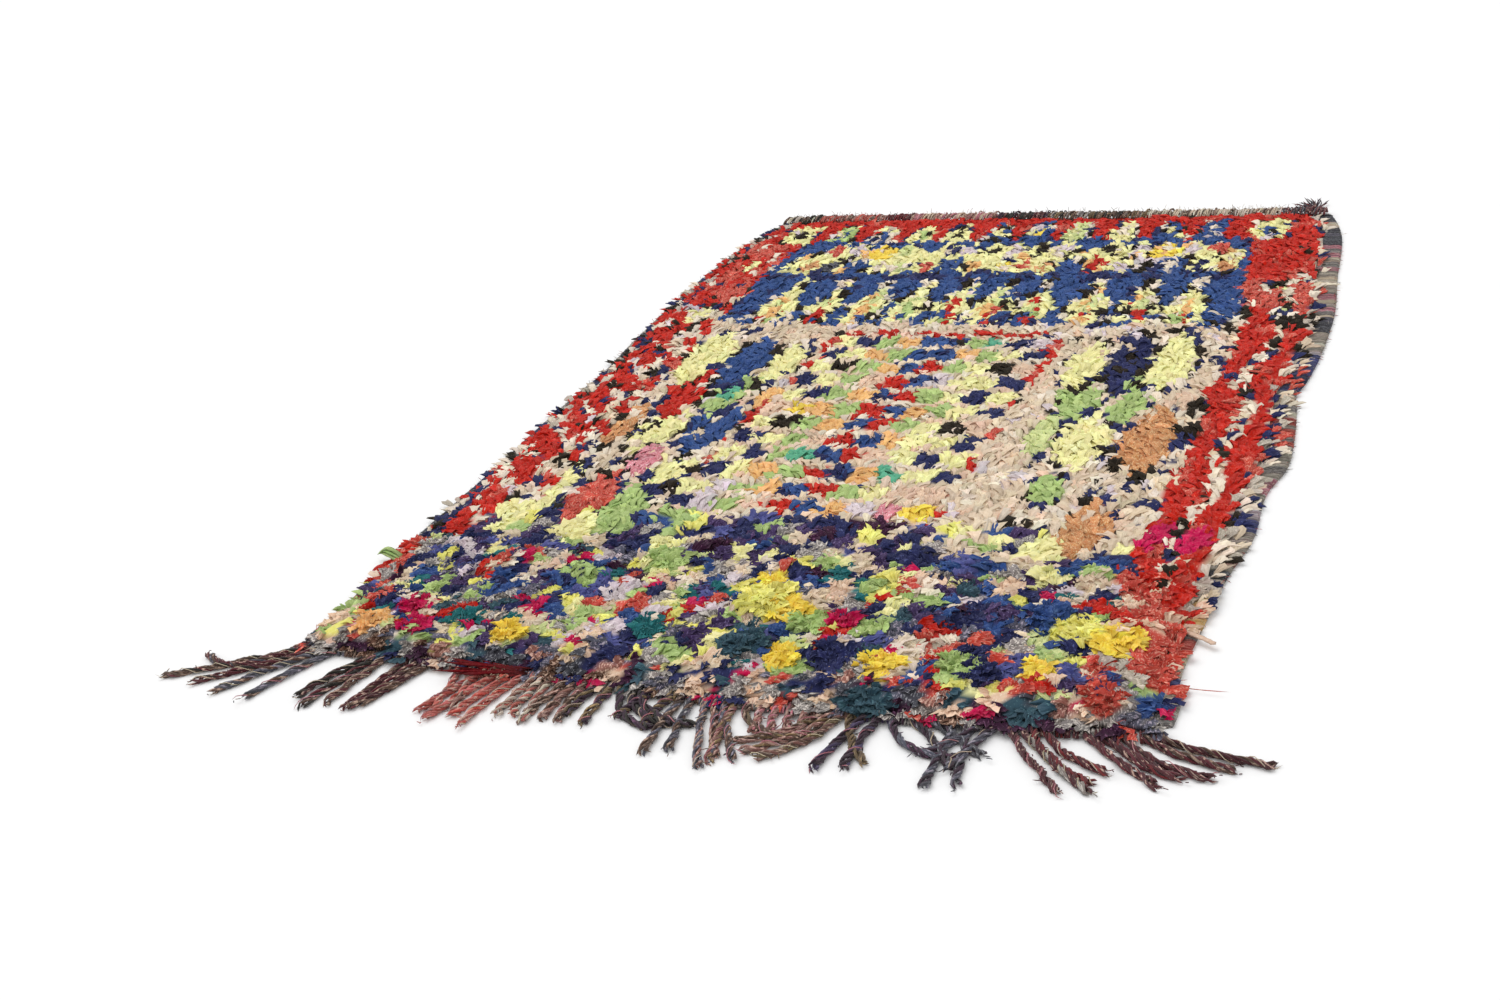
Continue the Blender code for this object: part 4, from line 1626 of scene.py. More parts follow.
    def bed(self, finish: Cloth) -> Piece:
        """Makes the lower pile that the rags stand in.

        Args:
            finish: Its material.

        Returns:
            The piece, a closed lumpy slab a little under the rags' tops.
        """
        columns, rows = 110, 170
        u, v = np.meshgrid(np.linspace(0.003, 0.997, columns), np.linspace(0.002, 0.998, rows))
        x, y = self.outline.place(u.ravel(), v.ravel())
        top = self.outline.height(x, y) - self.bed_depth + self.random.normal(0.0, 0.0007, len(x))
        template, rim = Template.slab(columns, rows)
        upper = np.stack([x, y, np.maximum(top, 0.0050)], axis=1)
        lower = np.stack([x[rim], y[rim], np.full(len(rim), self.bed_bottom)], axis=1)
        points = np.concatenate([upper, lower])
        dyes = self.chart.dyes_at(points[:, 0], points[:, 1])
        colours = DyeRows.mixed(dyes, self.random, uneven=0.05, tint=0.01)
        store = ClothStore()
        lie = np.stack([points[:, 0], points[:, 1], np.zeros(len(points))], axis=1)[None]
        # The bed's share gives it part of the painted root shade
        store.add(template, points[None], colours, np.full((1, len(points)), 0.45), lie)
        return store.build("pile_bed", finish, True)

    def build(self, finishes: dict[str, Cloth]) -> list[Piece]:
        """Makes all pieces of the pile.

        Args:
            finishes: Materials by name.

        Returns:
            The pieces.
        """
        made = [self.bed(finishes["rag"])]
        bounds = (-0.70, -0.26, 0.18, 0.62, 1.20)
        for i, (low, high) in enumerate(zip(bounds, bounds[1:])):
            store = ClothStore()
            batch = self.batch(FIELD_RAG, self.field_pitch, low, high)
            self.add_rags(store, FIELD_RAG, batch)
            made.append(store.build(f"pile_rags_{i + 1}", finishes["rag"], False))

        under = ClothStore()
        batch = self.batch(LOWER_RAG, self.lower_pitch, -1.3, -0.69)
        self.add_rags(under, LOWER_RAG, batch)
        made.append(under.build("front_rags", finishes["loose_rag"], False))

        upper = ClothStore()
        batch = self.batch(FRONT_RAG, self.front_pitch, -1.3, -0.735)
        self.add_rags(upper, FRONT_RAG, batch)
        self.add_rags(upper, FRONT_RAG, self.ruffles())
        made.append(upper.build("front_crumples", finishes["loose_rag"], False))
        return made


@dataclass
class YarnWork:
    """Draws yarns and wraps as closed tubes."""

    random: np.random.Generator

    def tubes(
        self,
        store: ClothStore,
        paths: np.ndarray,
        wide: np.ndarray,
        thick: np.ndarray,
        dyes: list[Dye],
        upright: tuple[float, float, float],
        sides: int = 5,
        uneven: float = 0.10,
    ) -> None:
        """Adds tubes along paths.

        Args:
            store: Where the shapes go.
            paths: Middle lines, as tubes by stations by 3; the two ends become points.
            wide: Half widths at the inner stations, as tubes by stations.
            thick: Half thicknesses there.
            dyes: The dye of each tube.
            upright: The way that the thickness is measured, where the path allows it.
            sides: Corners of each ring.
            uneven: Spread of the brightness.
        """
        count, stations = paths.shape[:2]
        along = unit(np.gradient(paths, axis=1))[:, 1:-1]
        flat = unit(np.cross(along, np.array(upright)))
        upper = np.cross(flat, along)
        turn = np.arange(sides) * math.tau / sides
        ring = paths[:, 1:-1, None, :]
        ring = ring + flat[:, :, None, :] * (wide[..., None] * np.cos(turn))[..., None]
        ring = ring + upper[:, :, None, :] * (thick[..., None] * np.sin(turn))[..., None]
        points = np.concatenate(
            [ring.reshape(count, -1, 3), paths[:, :1], paths[:, -1:]], axis=1
        )
        points[..., 2] = np.maximum(points[..., 2], 0.0002)
        steps = np.linalg.norm(np.diff(paths, axis=1), axis=2)
        run = np.concatenate([np.zeros((count, 1)), np.cumsum(steps, axis=1)], axis=1)
        run = np.concatenate([np.repeat(run[:, 1:-1], sides, axis=1), run[:, :1], run[:, -1:]], axis=1)
        # The share along each tube sets the painted shade at its root
        share = run / run.max(axis=1, keepdims=True)
        girth = (turn[None, None, :] * wide[..., None]).reshape(count, -1)
        girth = np.concatenate([girth, np.zeros((count, 2))], axis=1)
        seed = np.repeat(self.random.random(count)[:, None], points.shape[1], axis=1)
        lie = np.stack([girth, run, seed], axis=2)
        rows = DyeRows.mixed(dyes, self.random, uneven=uneven)
        store.add(Template.tube(stations - 2, sides), points, rows, share, lie)

    def hairs(
        self,
        store: ClothStore,
        roots: np.ndarray,
        ways: np.ndarray,
        length: np.ndarray,
        dyes: list[Dye],
        radius: float = 0.0007,
        curl: float = 0.28,
    ) -> None:
        """Adds short stray threads.

        Args:
            store: Where the shapes go.
            roots: Where they start, as threads by 3.
            ways: The way each one points, as threads by 3.
            length: How long each one is.
            dyes: The dye of each.
            radius: Half their thickness.
            curl: How far they bend off their way, as a share of their length.
        """
        share = np.linspace(0.0, 1.0, 6)[None, :, None]
        bend = self.random.normal(0.0, curl, (len(roots), 1, 3)) * share**2
        bend[..., 2] *= 0.25
        paths = roots[:, None] + length[:, None, None] * share * unit(ways)[:, None]
        paths = paths + length[:, None, None] * bend
        paths[..., 2] = np.maximum(paths[..., 2], radius)
        size = np.full((len(roots), 4), radius)
        self.tubes(store, paths, size, size, dyes, (0.3, 0.4, 0.87), sides=3)


@dataclass
class Bands:
    """The overcast selvedges, the twined band at the back and the strip at the front."""

    outline: Outline
    yarn: YarnWork
    random: np.random.Generator
    wrap_pitch: float = 0.0056
    loop_pitch: float = 0.0034
    strip_pitch: float = 0.0052

    def run_dyes(self, places: np.ndarray, runs: tuple[DyeRun, ...], low: int, high: int) -> list[Dye]:
        """Dyes of wraps, kept for a few wraps at a time.

        Args:
            places: Where the wraps lie along the band.
            runs: The dyes of each part of the band.
            low: Fewest wraps of one dye.
            high: Most wraps of one dye.

        Returns:
            One dye for each wrap.
        """
        made: list[Dye] = []
        left, dye = 0, Dye.GREY
        for place in places:
            if left == 0:
                choices = next(run.dyes for run in runs if place < run.until)
                dye = choices[int(self.random.integers(len(choices)))]
                left = int(self.random.integers(low, high))
            made.append(dye)
            left -= 1
        return made

    def selvedge(self, name: str, runs: tuple[DyeRun, ...], finish: Cloth) -> Piece:
        """Wraps one selvedge.

        Args:
            name: left or right.
            runs: Its dyes.
            finish: Its material.

        Returns:
            The piece.
        """
        way = 1.0 if name == "right" else -1.0
        y = np.arange(-1.105, 1.095, self.wrap_pitch)
        y = y + self.random.normal(0.0, 0.0007, len(y))
        inner = self.outline.edge(name, y)
        band = way * (self.outline.selvedge(name, y) - inner)
        shares = np.array([-0.30, -0.10, 0.18, 0.42, 0.66, 0.88, 1.0, 0.97, 0.80])
        heights = np.array([3.0, 5.6, 6.7, 5.6, 6.6, 5.8, 3.4, 1.6, 1.4]) * 0.001
        bulge = self.random.normal(1.0, 0.05, (len(y), 1))
        paths = np.zeros((len(y), len(shares), 3))
        paths[..., 0] = inner[:, None] + way * band[:, None] * shares * (0.97 + 0.03 * bulge)
        slant = self.random.normal(0.0022, 0.0012, (len(y), 1))
        paths[..., 1] = y[:, None] + slant * shares
        paths[..., 2] = heights * bulge
        wide = 0.0027 * self.random.uniform(0.80, 1.15, (len(y), 7))
        thick = 0.0022 * self.random.uniform(0.85, 1.15, (len(y), 7))
        store = ClothStore()
        dyes = self.run_dyes(y, runs, 2, 7)
        self.yarn.tubes(store, paths, wide, thick, dyes, (0.0, 1.0, 0.0), uneven=0.22)
        self.add_fuzz(store, name, way, 260)
        return store.build(f"selvedge_{name}_wraps", finish, True)

    def add_fuzz(self, store: ClothStore, name: str, way: float, count: int) -> None:
        """Adds stray threads along the outer edge of a selvedge."""
        y = self.random.uniform(-1.09, 1.08, count)
        x = self.outline.selvedge(name, y) - way * 0.004
        roots = np.stack([x, y, self.random.uniform(0.002, 0.006, count)], axis=1)
        ways = self.random.normal(0.0, 0.6, (count, 3)) + np.array([way, 0.0, 0.1])
        length = self.random.uniform(0.004, 0.014, count)
        picks = (Dye.GREY, Dye.CHARCOAL, Dye.CREAM, Dye.CORAL)
        dyes = [picks[i] for i in self.random.integers(0, len(picks), count)]
        self.yarn.hairs(store, roots, ways, length, dyes, 0.0005)

    def end_band(self, finish: Cloth) -> Piece:
        """Makes the ridge of whipped loops across the back.

        Args:
            finish: Its material.

        Returns:
            The piece.
        """
        x = np.arange(-0.698, 0.690, self.loop_pitch)
        x = x + self.random.normal(0.0, 0.0008, len(x))
        back = self.outline.edge("back", np.clip(x, -0.68, 0.66))
        count = len(x)
        deep = np.array([-0.016, -0.013, -0.004, 0.010, 0.024, 0.036, 0.041, 0.040])
        tall = np.array([0.010, 0.0160, 0.0205, 0.0215, 0.0190, 0.0115, 0.004, 0.001])
        size = self.random.normal(1.0, 0.10, (count, 1))
        paths = np.zeros((count, len(deep), 3))
        slant = self.random.normal(0.007, 0.006, (count, 1))
        paths[..., 0] = x[:, None] + slant * np.linspace(-0.5, 0.5, len(deep))
        paths[..., 1] = back[:, None] + deep
        paths[..., 2] = tall * size
        wide = 0.0023 * self.random.uniform(0.8, 1.25, (count, 6))
        thick = 0.0021 * self.random.uniform(0.8, 1.2, (count, 6))
        store = ClothStore()
        dyes = self.run_dyes(x, END_RUNS, 1, 3)
        self.yarn.tubes(store, paths, wide, thick, dyes, (1.0, 0.0, 0.0), uneven=0.25)
        self.add_loops(store)
        count = 900
        spots = self.random.uniform(-0.69, 0.68, count)
        edge = self.outline.edge("back", np.clip(spots, -0.68, 0.66))
        roots = np.stack(
            [
                spots,
                edge + self.random.uniform(-0.012, 0.036, count),
                self.random.uniform(0.014, 0.020, count),
            ],
            axis=1,
        )
        ways = self.random.normal(0.0, 0.7, (count, 3)) + np.array([0.0, 0.4, 0.8])
        length = self.random.uniform(0.005, 0.016, count)
        dyes = self.run_dyes(spots, END_RUNS, 1, 2)
        self.yarn.hairs(store, roots, ways, length, dyes, 0.0005)
        return store.build("end_band_loops", finish, True)

    def add_loops(self, store: ClothStore) -> None:
        """Adds the small loops of the twined warps that stand on the ridge."""
        x = np.arange(-0.69, 0.68, 0.0062)
        x = x + self.random.normal(0.0, 0.002, len(x))
        count = len(x)
        edge = self.outline.edge("back", np.clip(x, -0.68, 0.66))
        turn = np.linspace(-0.5, math.pi + 0.5, 8)[None, :]
        radius = self.random.uniform(0.0035, 0.0060, (count, 1))
        yaw = self.random.uniform(0.0, math.tau, (count, 1))
        lift = self.random.uniform(0.0160, 0.0205, (count, 1))
        paths = np.zeros((count, 8, 3))
        paths[..., 0] = x[:, None] + np.cos(yaw) * np.cos(turn) * radius
        paths[..., 1] = (edge + self.random.uniform(-0.010, 0.030, count))[:, None]
        paths[..., 1] += np.sin(yaw) * np.cos(turn) * radius
        paths[..., 2] = lift + 0.8 * np.sin(turn) * radius
        size = np.full((count, 6), 0.0014)
        dyes = self.run_dyes(x, END_RUNS, 1, 3)
        self.yarn.tubes(store, paths, size, size, dyes, (0.3, 0.5, 0.81))

    def front_strip(self, finish: Cloth) -> Piece:
        """Makes the narrow twined strip that the fringe hangs from.

        Args:
            finish: Its material.

        Returns:
            The piece.
        """
        x = np.arange(-0.706, 0.690, self.strip_pitch)
        x = x + self.random.normal(0.0, 0.0008, len(x))
        front = self.outline.edge("front", np.clip(x, -0.69, 0.67))
        count = len(x)
        deep = np.array([-0.004, 0.001, 0.007, 0.013, 0.018, 0.021, 0.020])
        tall = np.array([0.003, 0.0058, 0.0072, 0.0070, 0.0052, 0.0026, 0.0012])
        paths = np.zeros((count, len(deep), 3))
        slant = self.random.normal(0.005, 0.003, (count, 1))
        paths[..., 0] = x[:, None] + slant * np.linspace(0.0, 1.0, len(deep))
        paths[..., 1] = front[:, None] - deep
        paths[..., 2] = tall * self.random.normal(1.0, 0.08, (count, 1))
        wide = 0.0030 * self.random.uniform(0.8, 1.2, (count, 5))
        thick = 0.0021 * self.random.uniform(0.8, 1.2, (count, 5))
        runs = tuple(DyeRun(row.end + 0.02, (*row.dyes, Dye.GREY)) for row in FRINGE[:-1])
        runs += (DyeRun(0.8, FRINGE[-1].dyes),)
        store = ClothStore()
        dyes = self.run_dyes(x, runs, 1, 4)
        self.yarn.tubes(store, paths, wide, thick, dyes, (1.0, 0.0, 0.0))
        return store.build("fringe_strip", finish, True)


@dataclass(frozen=True)
class Route:
    """The middle line of a rope on the floor."""

    root: np.ndarray
    lean: float
    end_lean: float
    length: float

    def points(self, stations: int) -> tuple[np.ndarray, np.ndarray]:
        """Places along the rope and the way across it at each.

        Args:
            stations: How many places.

        Returns:
            The places and the ways across.
        """
        shares = np.linspace(0.0, 1.0, stations)
        leans = self.lean + (self.end_lean - self.lean) * shares
        halfway = 0.5 * (leans[1:] + leans[:-1])
        steps = np.stack([np.sin(halfway), -np.cos(halfway), np.zeros(stations - 1)], axis=1)
        places = np.concatenate([np.zeros((1, 3)), np.cumsum(steps, axis=0)])
        across = np.stack([np.cos(leans), np.sin(leans), np.zeros(stations)], axis=1)
        return self.root + places * self.length / (stations - 1), across


@dataclass
class Fringe:
    """Warp ends gathered into ropes of loosely twisted yarns that lie on the floor."""

    outline: Outline
    yarn: YarnWork
    random: np.random.Generator
    root_depth: float = 0.0121
    yarns: int = 5
    stations: int = 24
    rope_radius: float = 0.0041
    yarn_radius: float = 0.0023
    twist_pitch: float = 0.046
    uneven: float = 0.08
    uneven_step: float = 2.4

    def routes(self) -> list[tuple[Route, Cluster]]:
        """The route of every strand, as the CAD frame lays them."""
        made = []
        order = 0
        for cluster in FRINGE:
            for i in range(cluster.count):
                share = i / max(1, cluster.count - 1)
                x = cluster.start + (cluster.end - cluster.start) * share
                front = float(self.outline.edge("front", x))
                swing = cluster.fan * (share - 0.5)
                leans = [math.radians(lean + swing) for lean in (cluster.lean, cluster.end_lean)]
                length = cluster.length * (1.0 + self.uneven * math.sin(order * self.uneven_step))
                root = np.array([x, front - self.root_depth, 0.0])
                made.append((Route(root, *leans, length), cluster))
                order += 1
        return made

    def drift(self, size: float) -> np.ndarray:
        """A slow random wander along a rope."""
        start = self.random.uniform(0.0, 90.0, 3)
        places = np.linspace(0.0, 4.0, self.stations)
        return size * np.array([noise.noise(Vector(start + place)) for place in places])

    def add_rope(self, store: ClothStore, route: Route, dyes: tuple[Dye, ...]) -> None:
        """Twists the yarns of one rope loosely and lets its end splay.

        Args:
            store: Where the shapes go.
            route: Its middle line.
            dyes: The dyes of its yarns.
        """
        random = self.random
        places, across = route.points(self.stations)
        shares = np.linspace(0.0, 1.0, self.stations)
        places = places + across * (self.drift(0.005) * np.sin(math.pi * shares))[:, None]
        level = 0.0060 + self.drift(0.0012)
        splay = 1.0 + 1.1 * shares**7
        pitch = self.twist_pitch * random.uniform(0.8, 1.5)
        phase = random.uniform(0.0, math.tau)
        picks = [dyes[int(random.integers(len(dyes)))] for _ in range(self.yarns)]
        paths, sizes = [], []
        for ply in range(self.yarns):
            turn = phase + ply * math.tau / self.yarns + math.tau * route.length * shares / pitch
            turn = turn + self.drift(1.6)
            radius = (self.rope_radius + self.drift(0.0020)) * splay
            path = places + across * (radius * np.cos(turn))[:, None]
            path[:, 2] += level + 0.9 * radius / splay * np.sin(turn) - 0.0020 * shares**4
            cut = random.uniform(0.90, 1.0)
            stay = np.linspace(0.0, cut, self.stations)
            path = np.stack([np.interp(stay, shares, path[:, i]) for i in range(3)], axis=1)
            paths.append(path)
            sizes.append(self.yarn_radius + self.drift(0.0010)[1:-1])
        size = np.array(sizes)
        self.yarn.tubes(store, np.array(paths), size, size, picks, (0.0, 0.0, 1.0), sides=5, uneven=0.22)
        if random.random() < 0.65:
            turn = phase + 0.5 + math.tau * route.length * shares / pitch
            pale = places + across * (1.55 * self.rope_radius * np.cos(turn))[:, None]
            pale[:, 2] += level + 1.45 * self.rope_radius * np.sin(turn)
            thin = np.full((1, self.stations - 2), 0.0008)
            tone = Dye.BEIGE if random.random() < 0.6 else Dye.ROSE
            self.yarn.tubes(store, pale[None], thin, thin, [tone], (0.0, 0.0, 1.0), sides=4)
        count = 12
        spots = random.integers(4, self.stations, count)
        roots = places[spots] + random.normal(0.0, 0.003, (count, 3))
        roots[:, 2] = np.abs(random.normal(0.006, 0.002, count))
        heading = np.stack([-across[spots, 1], across[spots, 0], np.zeros(count)], axis=1)
        ways = -heading + random.normal(0.0, 0.6, (count, 3)) * np.array([1.0, 1.0, 0.4])
        ends = [picks[i % self.yarns] for i in range(count)]
        self.yarn.hairs(store, roots, ways, random.uniform(0.004, 0.011, count), ends, 0.0008)

    def build(self, finish: Cloth) -> Piece:
        """Makes all ropes.

        Args:
            finish: Their material.

        Returns:
            The piece.
        """
        store = ClothStore()
        for route, cluster in self.routes():
            self.add_rope(store, route, cluster.dyes)
        return store.build("fringe_ropes", finish, True)

    def tuft(self, finish: Cloth, box: tuple) -> Piece:
        """Makes the tied tuft behind the right back corner.

        Args:
            finish: Its material.
            box: The CAD tuft's corners.

        Returns:
            The piece.
        """
        random = self.random
        low, high = np.array(box[0]), np.array(box[1])
        centre = np.array([0.662, low[1] + 0.0105, 0.0])
        store = ClothStore()
        count = 34
        lean = np.radians(random.uniform(146.0, 240.0, count))
        ways = np.stack([np.sin(lean), -np.cos(lean), random.uniform(0.0, 0.22, count)], axis=1)
        roots = centre + ways * np.array([0.006, 0.006, 0.0])
        roots[:, 2] = random.uniform(0.0015, 0.0075, count)
        reach = min(0.062, high[1] - centre[1])
        length = random.uniform(0.62, 1.0, count) * reach
        picks = (Dye.BURGUNDY, Dye.CHARCOAL, Dye.DARK_RED, Dye.PLUM)
        dyes = [picks[i] for i in random.integers(0, len(picks), count)]
        self.yarn.hairs(store, roots, ways, length, dyes, 0.0015)
        turn = np.linspace(0.0, 1.85 * math.pi, 12)
        rounds = []
        for level in (0.0022, 0.0048, 0.0072):
            ring = np.zeros((12, 3))
            ring[:, 0] = centre[0] + 0.0076 * np.cos(turn)
            ring[:, 1] = centre[1] + 0.0076 * np.sin(turn)
            ring[:, 2] = level + 0.0006 * np.sin(3.0 * turn)
            rounds.append(ring)
        size = np.full((3, 10), 0.0021)
        self.yarn.tubes(store, np.array(rounds), size, size, list(picks[:3]), (0.0, 0.0, 1.0))
        return store.build("corner_tuft_yarns", finish, True)


@dataclass
class LooseRags:
    """Long rags and threads that hang over the rim."""

    outline: Outline
    yarn: YarnWork
    random: np.random.Generator
    rag_width: float = 0.011
    rag_half_depth: float = 0.0012

    def add_rag(self, store: ClothStore, path: list[tuple], width: float, dye: Dye) -> None:
        """Adds a flattened strip along a path.

        Args:
            store: Where the shapes go.
            path: Places of its middle line.
            width: Its full width.
            dye: Its dye.
        """
        places = np.array(path)
        shares = np.linspace(0.0, 1.0, 12)
        knots = np.linspace(0.0, 1.0, len(places))
        line = np.stack([np.interp(shares, knots, places[:, i]) for i in range(3)], axis=1)
        line[1:-1] = 0.25 * line[:-2] + 0.5 * line[1:-1] + 0.25 * line[2:]
        size = 0.5 * width * self.random.uniform(0.8, 1.1, (1, 10))
        thin = np.full((1, 10), self.rag_half_depth)
        self.yarn.tubes(store, line[None], size, thin, [dye], (0.0, 0.0, 1.0), sides=6)

    def build(self, finish: Cloth) -> Piece:
        """Makes every loose rag and thread.

        Args:
            finish: Their material.

        Returns:
            The piece.
        """
        store = ClothStore()
        left = float(self.outline.edge("left", -0.84))
        right = float(self.outline.edge("right", -0.87))
        for i in range(3):
            lift = 0.004 * i
            self.add_rag(
                store,
                [
                    (left + 0.012, -0.846 + 0.006 * i, 0.012),
                    (left - 0.012, -0.838 + 0.005 * i, 0.016 + lift),
                    (left - 0.034, -0.828 + 0.003 * i, 0.018 + lift),
                    (left - 0.052, -0.820 - 0.004 * i, 0.012),
                ],
                self.rag_width,
                Dye.GREEN,
            )
        self.add_rag(
            store,
            [
                (right - 0.012, -0.868, 0.012),
                (right + 0.018, -0.880, 0.0115),
                (right + 0.040, -0.892, 0.0105),
                (right + 0.054, -0.902, 0.0100),
            ],
            self.rag_width,
            Dye.PEACH,
        )
        self.add_threads(store)
        return store.build("loose_rags", finish, True)

    def add_threads(self, store: ClothStore) -> None:
        """Adds the dark tuft, the tassel along the front and single threads."""
        random = self.random
        left = float(self.outline.edge("left", -0.19))
        count = 12
        roots = np.tile([left - 0.004, -0.190, 0.010], (count, 1))
        roots = roots + random.normal(0.0, 0.004, (count, 3)) * np.array([1.0, 1.5, 0.4])
        ways = np.array([-1.0, 0.35, 0.05]) + random.normal(0.0, 0.3, (count, 3))
        length = random.uniform(0.016, 0.034, count)
        self.yarn.hairs(store, roots, ways, length, [Dye.NAVY, Dye.BLACK] * 6, 0.0028)

        front = float(self.outline.edge("front", -0.26))
        count = 22
        roots = np.tile([-0.262, front - 0.010, 0.012], (count, 1))
        roots = roots + random.normal(0.0, 0.004, (count, 3)) * np.array([1.0, 1.0, 0.4])
        ways = np.array([-1.0, -0.06, 0.0]) + random.normal(0.0, 0.05, (count, 3))
        length = random.uniform(0.09, 0.142, count)
        self.yarn.hairs(store, roots, ways, length, [Dye.DARK_RED] * count, 0.0027, 0.12)

        right = float(self.outline.selvedge("right", -1.0))
        roots = np.array([[right - 0.004, -1.01, 0.005], [right - 0.004, 0.55, 0.005]])
        ways = np.array([[1.0, -0.25, 0.0], [1.0, -0.5, 0.0]])
        self.yarn.hairs(store, roots, ways, np.array([0.050, 0.030]), [Dye.CORAL, Dye.GREY], 0.0007)


@dataclass
class Ground:
    """The woven ground that the rags are knotted into."""

    outline: Outline
    flat: tuple[float, float] = (1.45, 2.23)
    bottom: float = 0.0010
    top: float = 0.0032
    ripple: float = 0.0004

    def build(self, finish: Cloth) -> Piece:
        """Makes the thin ground as one closed slab that follows the outline.

        Args:
            finish: Its material.

        Returns:
            The piece.
        """
        columns, rows = 30, 45
        u, v = np.meshgrid(np.linspace(0.004, 0.996, columns), np.linspace(0.003, 0.997, rows))
        x, y = self.outline.place(u.ravel(), v.ravel())
        wave = self.ripple * np.sin(x / 0.021) * np.sin(y / 0.017)
        top = np.stack([x, y, self.top + wave], axis=1)
        bottom = np.stack([x, y, np.full(len(x), self.bottom)], axis=1)
        count = columns * rows
        face = Template.grid(columns, rows)
        rim = Template.rim(columns, rows)
        skirt = [(b, a, count + a, count + b) for a, b in zip(rim, rim[1:] + rim[:1])]
        both = np.stack([face, count + face[:, ::-1]], axis=1).reshape(-1, 4)
        quads = np.concatenate([both, skirt])
        template = Template(2 * count, quads, np.zeros((0, 3), dtype=int))
        points = np.concatenate([top, bottom])[None]
        # The woven ground is real, but its dark brown is painted shade that darkens the gaps between the
        # rags
        colours = DyeRows(
            np.array([[0.060, 0.045, 0.038]]), np.array([[0.25, 0.18, 0.15]]), np.array([0.3])
        )
        lie = np.stack([points[0, :, 0], points[0, :, 1], np.zeros(2 * count)], axis=1)[None]
        store = ClothStore()
        store.add(template, points, colours, np.ones((1, 2 * count)), lie)
        return store.build("ground_weave", finish, True)


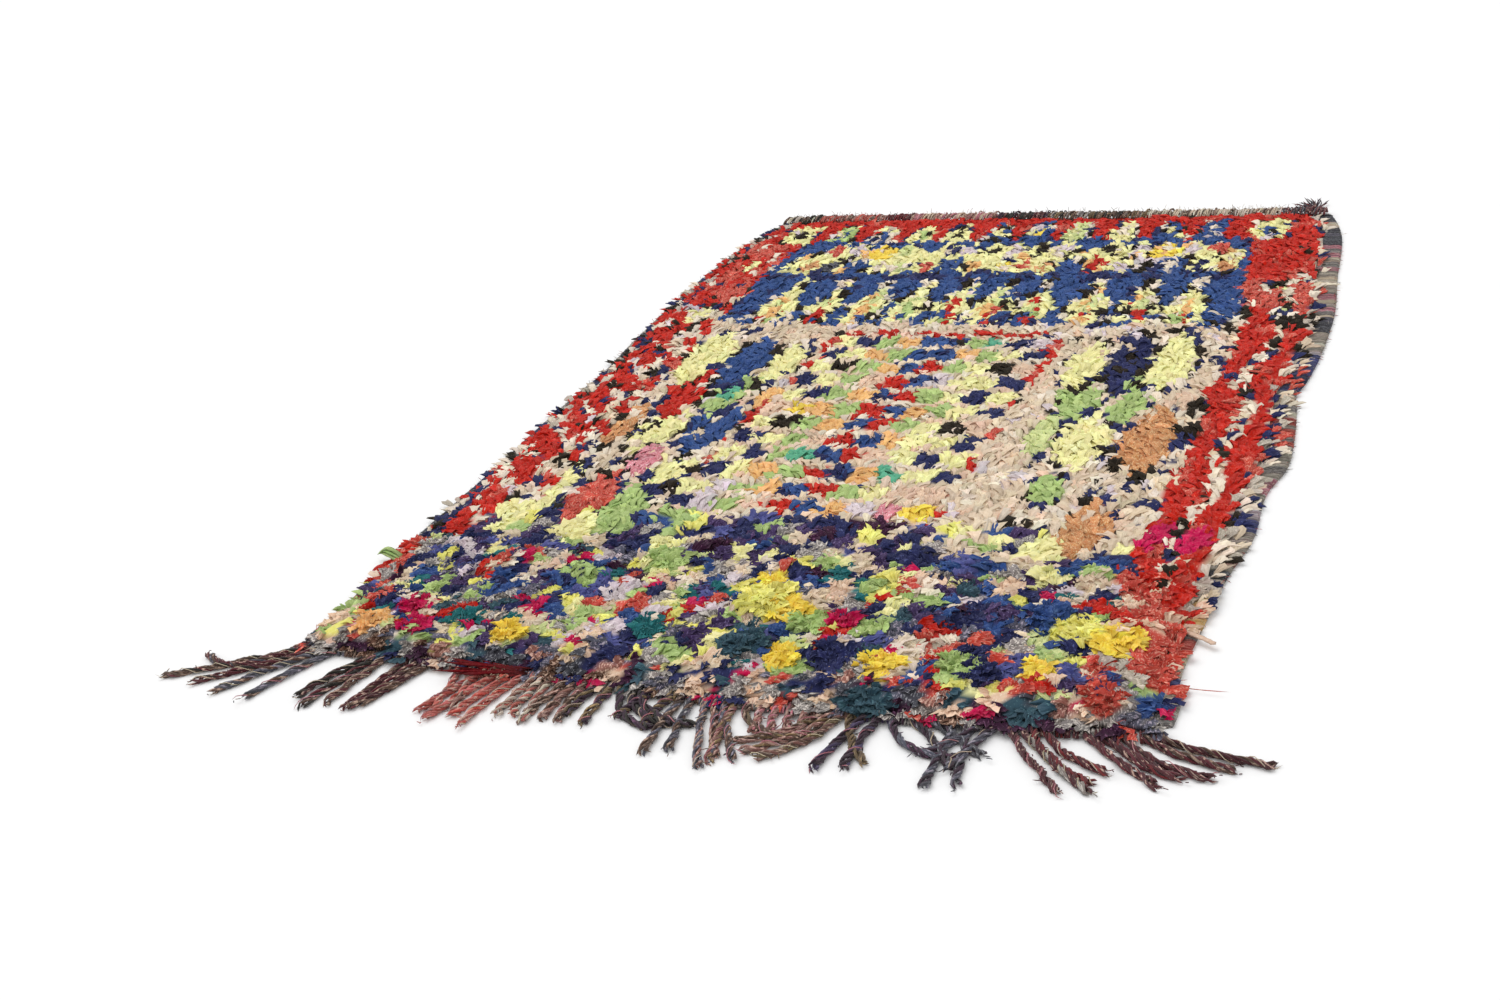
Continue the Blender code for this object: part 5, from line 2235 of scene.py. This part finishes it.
@dataclass
class Studio:
    """White floor, soft light and the camera at the photograph's angle."""

    floor_reach: float = 30.0
    surround: float = 0.80
    lamp_energy: float = 1.25
    lamp_spread: float = 50.0
    lens: float = 40.352
    camera_place: tuple[float, float, float] = (1.04481, -2.98551, 1.28771)
    camera_turn: tuple[tuple[float, ...], ...] = (
        (0.91751, -0.04810, 0.39479),
        (0.37376, 0.44356, -0.81459),
        (-0.13593, 0.89495, 0.42495),
    )
    light_way: tuple[float, float, float] = (0.55, -0.35, -1.0)

    def floor(self) -> Piece:
        """Makes the pale floor, which isn't part of the rug."""
        mesh = bpy.data.meshes.new("floor")
        reach = self.floor_reach
        corners = [(-reach, -reach, 0), (reach, -reach, 0), (reach, reach, 0), (-reach, reach, 0)]
        mesh.from_pydata(corners, [], [(0, 1, 2, 3)])
        finish = bpy.data.materials.new("studio_floor")
        finish.use_nodes = True
        sheet = NodeSheet(finish.node_tree)
        shader = finish.node_tree.nodes["Principled BSDF"]
        spot = sheet.add("TexCoord").outputs["Object"]
        cloud = sheet.add("TexNoise", Vector=spot, Scale=1.4, Detail=2.0)
        tone = sheet.mix(cloud.outputs["Fac"], (0.90, 0.90, 0.90, 1.0), (0.93, 0.93, 0.93, 1.0))
        finish.node_tree.links.new(tone, shader.inputs["Base Color"])
        shader.inputs["Roughness"].default_value = 0.9
        shader.inputs["Specular IOR Level"].default_value = 0.1
        mesh.materials.append(finish)
        made = bpy.data.objects.new("floor", mesh)
        bpy.context.scene.collection.objects.link(made)
        return made

    def light(self) -> None:
        """Sets an even white surround and one broad soft light from the upper left."""
        scene = bpy.context.scene
        world = scene.world or bpy.data.worlds.new("surround")
        scene.world = world
        world.use_nodes = True
        background = world.node_tree.nodes["Background"]
        background.inputs["Color"].default_value = (1.0, 1.0, 1.0, 1.0)
        background.inputs["Strength"].default_value = self.surround
        lamp = bpy.data.lights.new("softbox", "SUN")
        lamp.energy = self.lamp_energy
        lamp.angle = math.radians(self.lamp_spread)
        made = bpy.data.objects.new("softbox", lamp)
        made.rotation_euler = Vector(self.light_way).to_track_quat("-Z", "Y").to_euler()
        scene.collection.objects.link(made)
        scene.view_settings.view_transform = "Standard"

    def camera(self) -> None:
        """Sets the camera where the photograph was taken from."""
        lens = bpy.data.cameras.new("photo_camera")
        lens.lens = self.lens
        lens.sensor_width = 36.0
        lens.clip_end = 100.0
        made = bpy.data.objects.new("photo_camera", lens)
        turn = Matrix(self.camera_turn).to_4x4()
        made.matrix_world = Matrix.Translation(self.camera_place) @ turn
        bpy.context.scene.collection.objects.link(made)
        bpy.context.scene.camera = made


class Rug:
    """The whole rug, dressed over the frame."""

    def __init__(self, frame: dict) -> None:
        """Reads the frame and mixes the dyes."""
        self.frame = frame
        self.random = np.random.default_rng(SEED)
        self.outline = Outline.read(frame)
        effects = EffectGroups()
        named = {"rag": RAG, "loose_rag": LOOSE_RAG, "wrap": WRAP, "yarn": YARN}
        self.finishes = {name: finish.build(effects) for name, finish in named.items()}

    def build(self) -> None:
        """Makes every piece and hides the CAD parts that they stand in for."""
        yarn = YarnWork(self.random)
        bands = Bands(self.outline, yarn, self.random)
        fringe = Fringe(self.outline, yarn, self.random)
        chart = PileChart(self.outline, self.random)
        pile = RagPile(self.outline, chart, self.random).build(self.finishes)
        weave = Ground(self.outline)
        ground = weave.build(self.finishes["wrap"])
        loose = LooseRags(self.outline, yarn, self.random).build(self.finishes["loose_rag"])
        left = bands.selvedge("left", LEFT_RUNS, self.finishes["wrap"])
        right = bands.selvedge("right", RIGHT_RUNS, self.finishes["wrap"])
        back = bands.end_band(self.finishes["wrap"])
        strip = bands.front_strip(self.finishes["wrap"])
        ropes = fringe.build(self.finishes["yarn"])
        tuft = fringe.tuft(self.finishes["yarn"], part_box("corner_tuft"))

        for piece in [*pile, ground, loose]:
            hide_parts("pile_field")
        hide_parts("selvedge_left")
        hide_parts("selvedge_right")
        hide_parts("end_band")
        for piece in (strip, ropes):
            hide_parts("fringe_front")
        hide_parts("corner_tuft")
        for piece in [*pile, loose]:
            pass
        others = [*pile, loose, left, right, back, strip, ropes, tuft]


def main() -> None:
    """Builds the scene."""
    logging.basicConfig(level=logging.INFO, format="%(message)s")
    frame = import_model()
    Rug(frame).build()
    studio = Studio()
    studio.floor()
    studio.light()
    studio.camera()


if __name__ == "__main__":
    main()
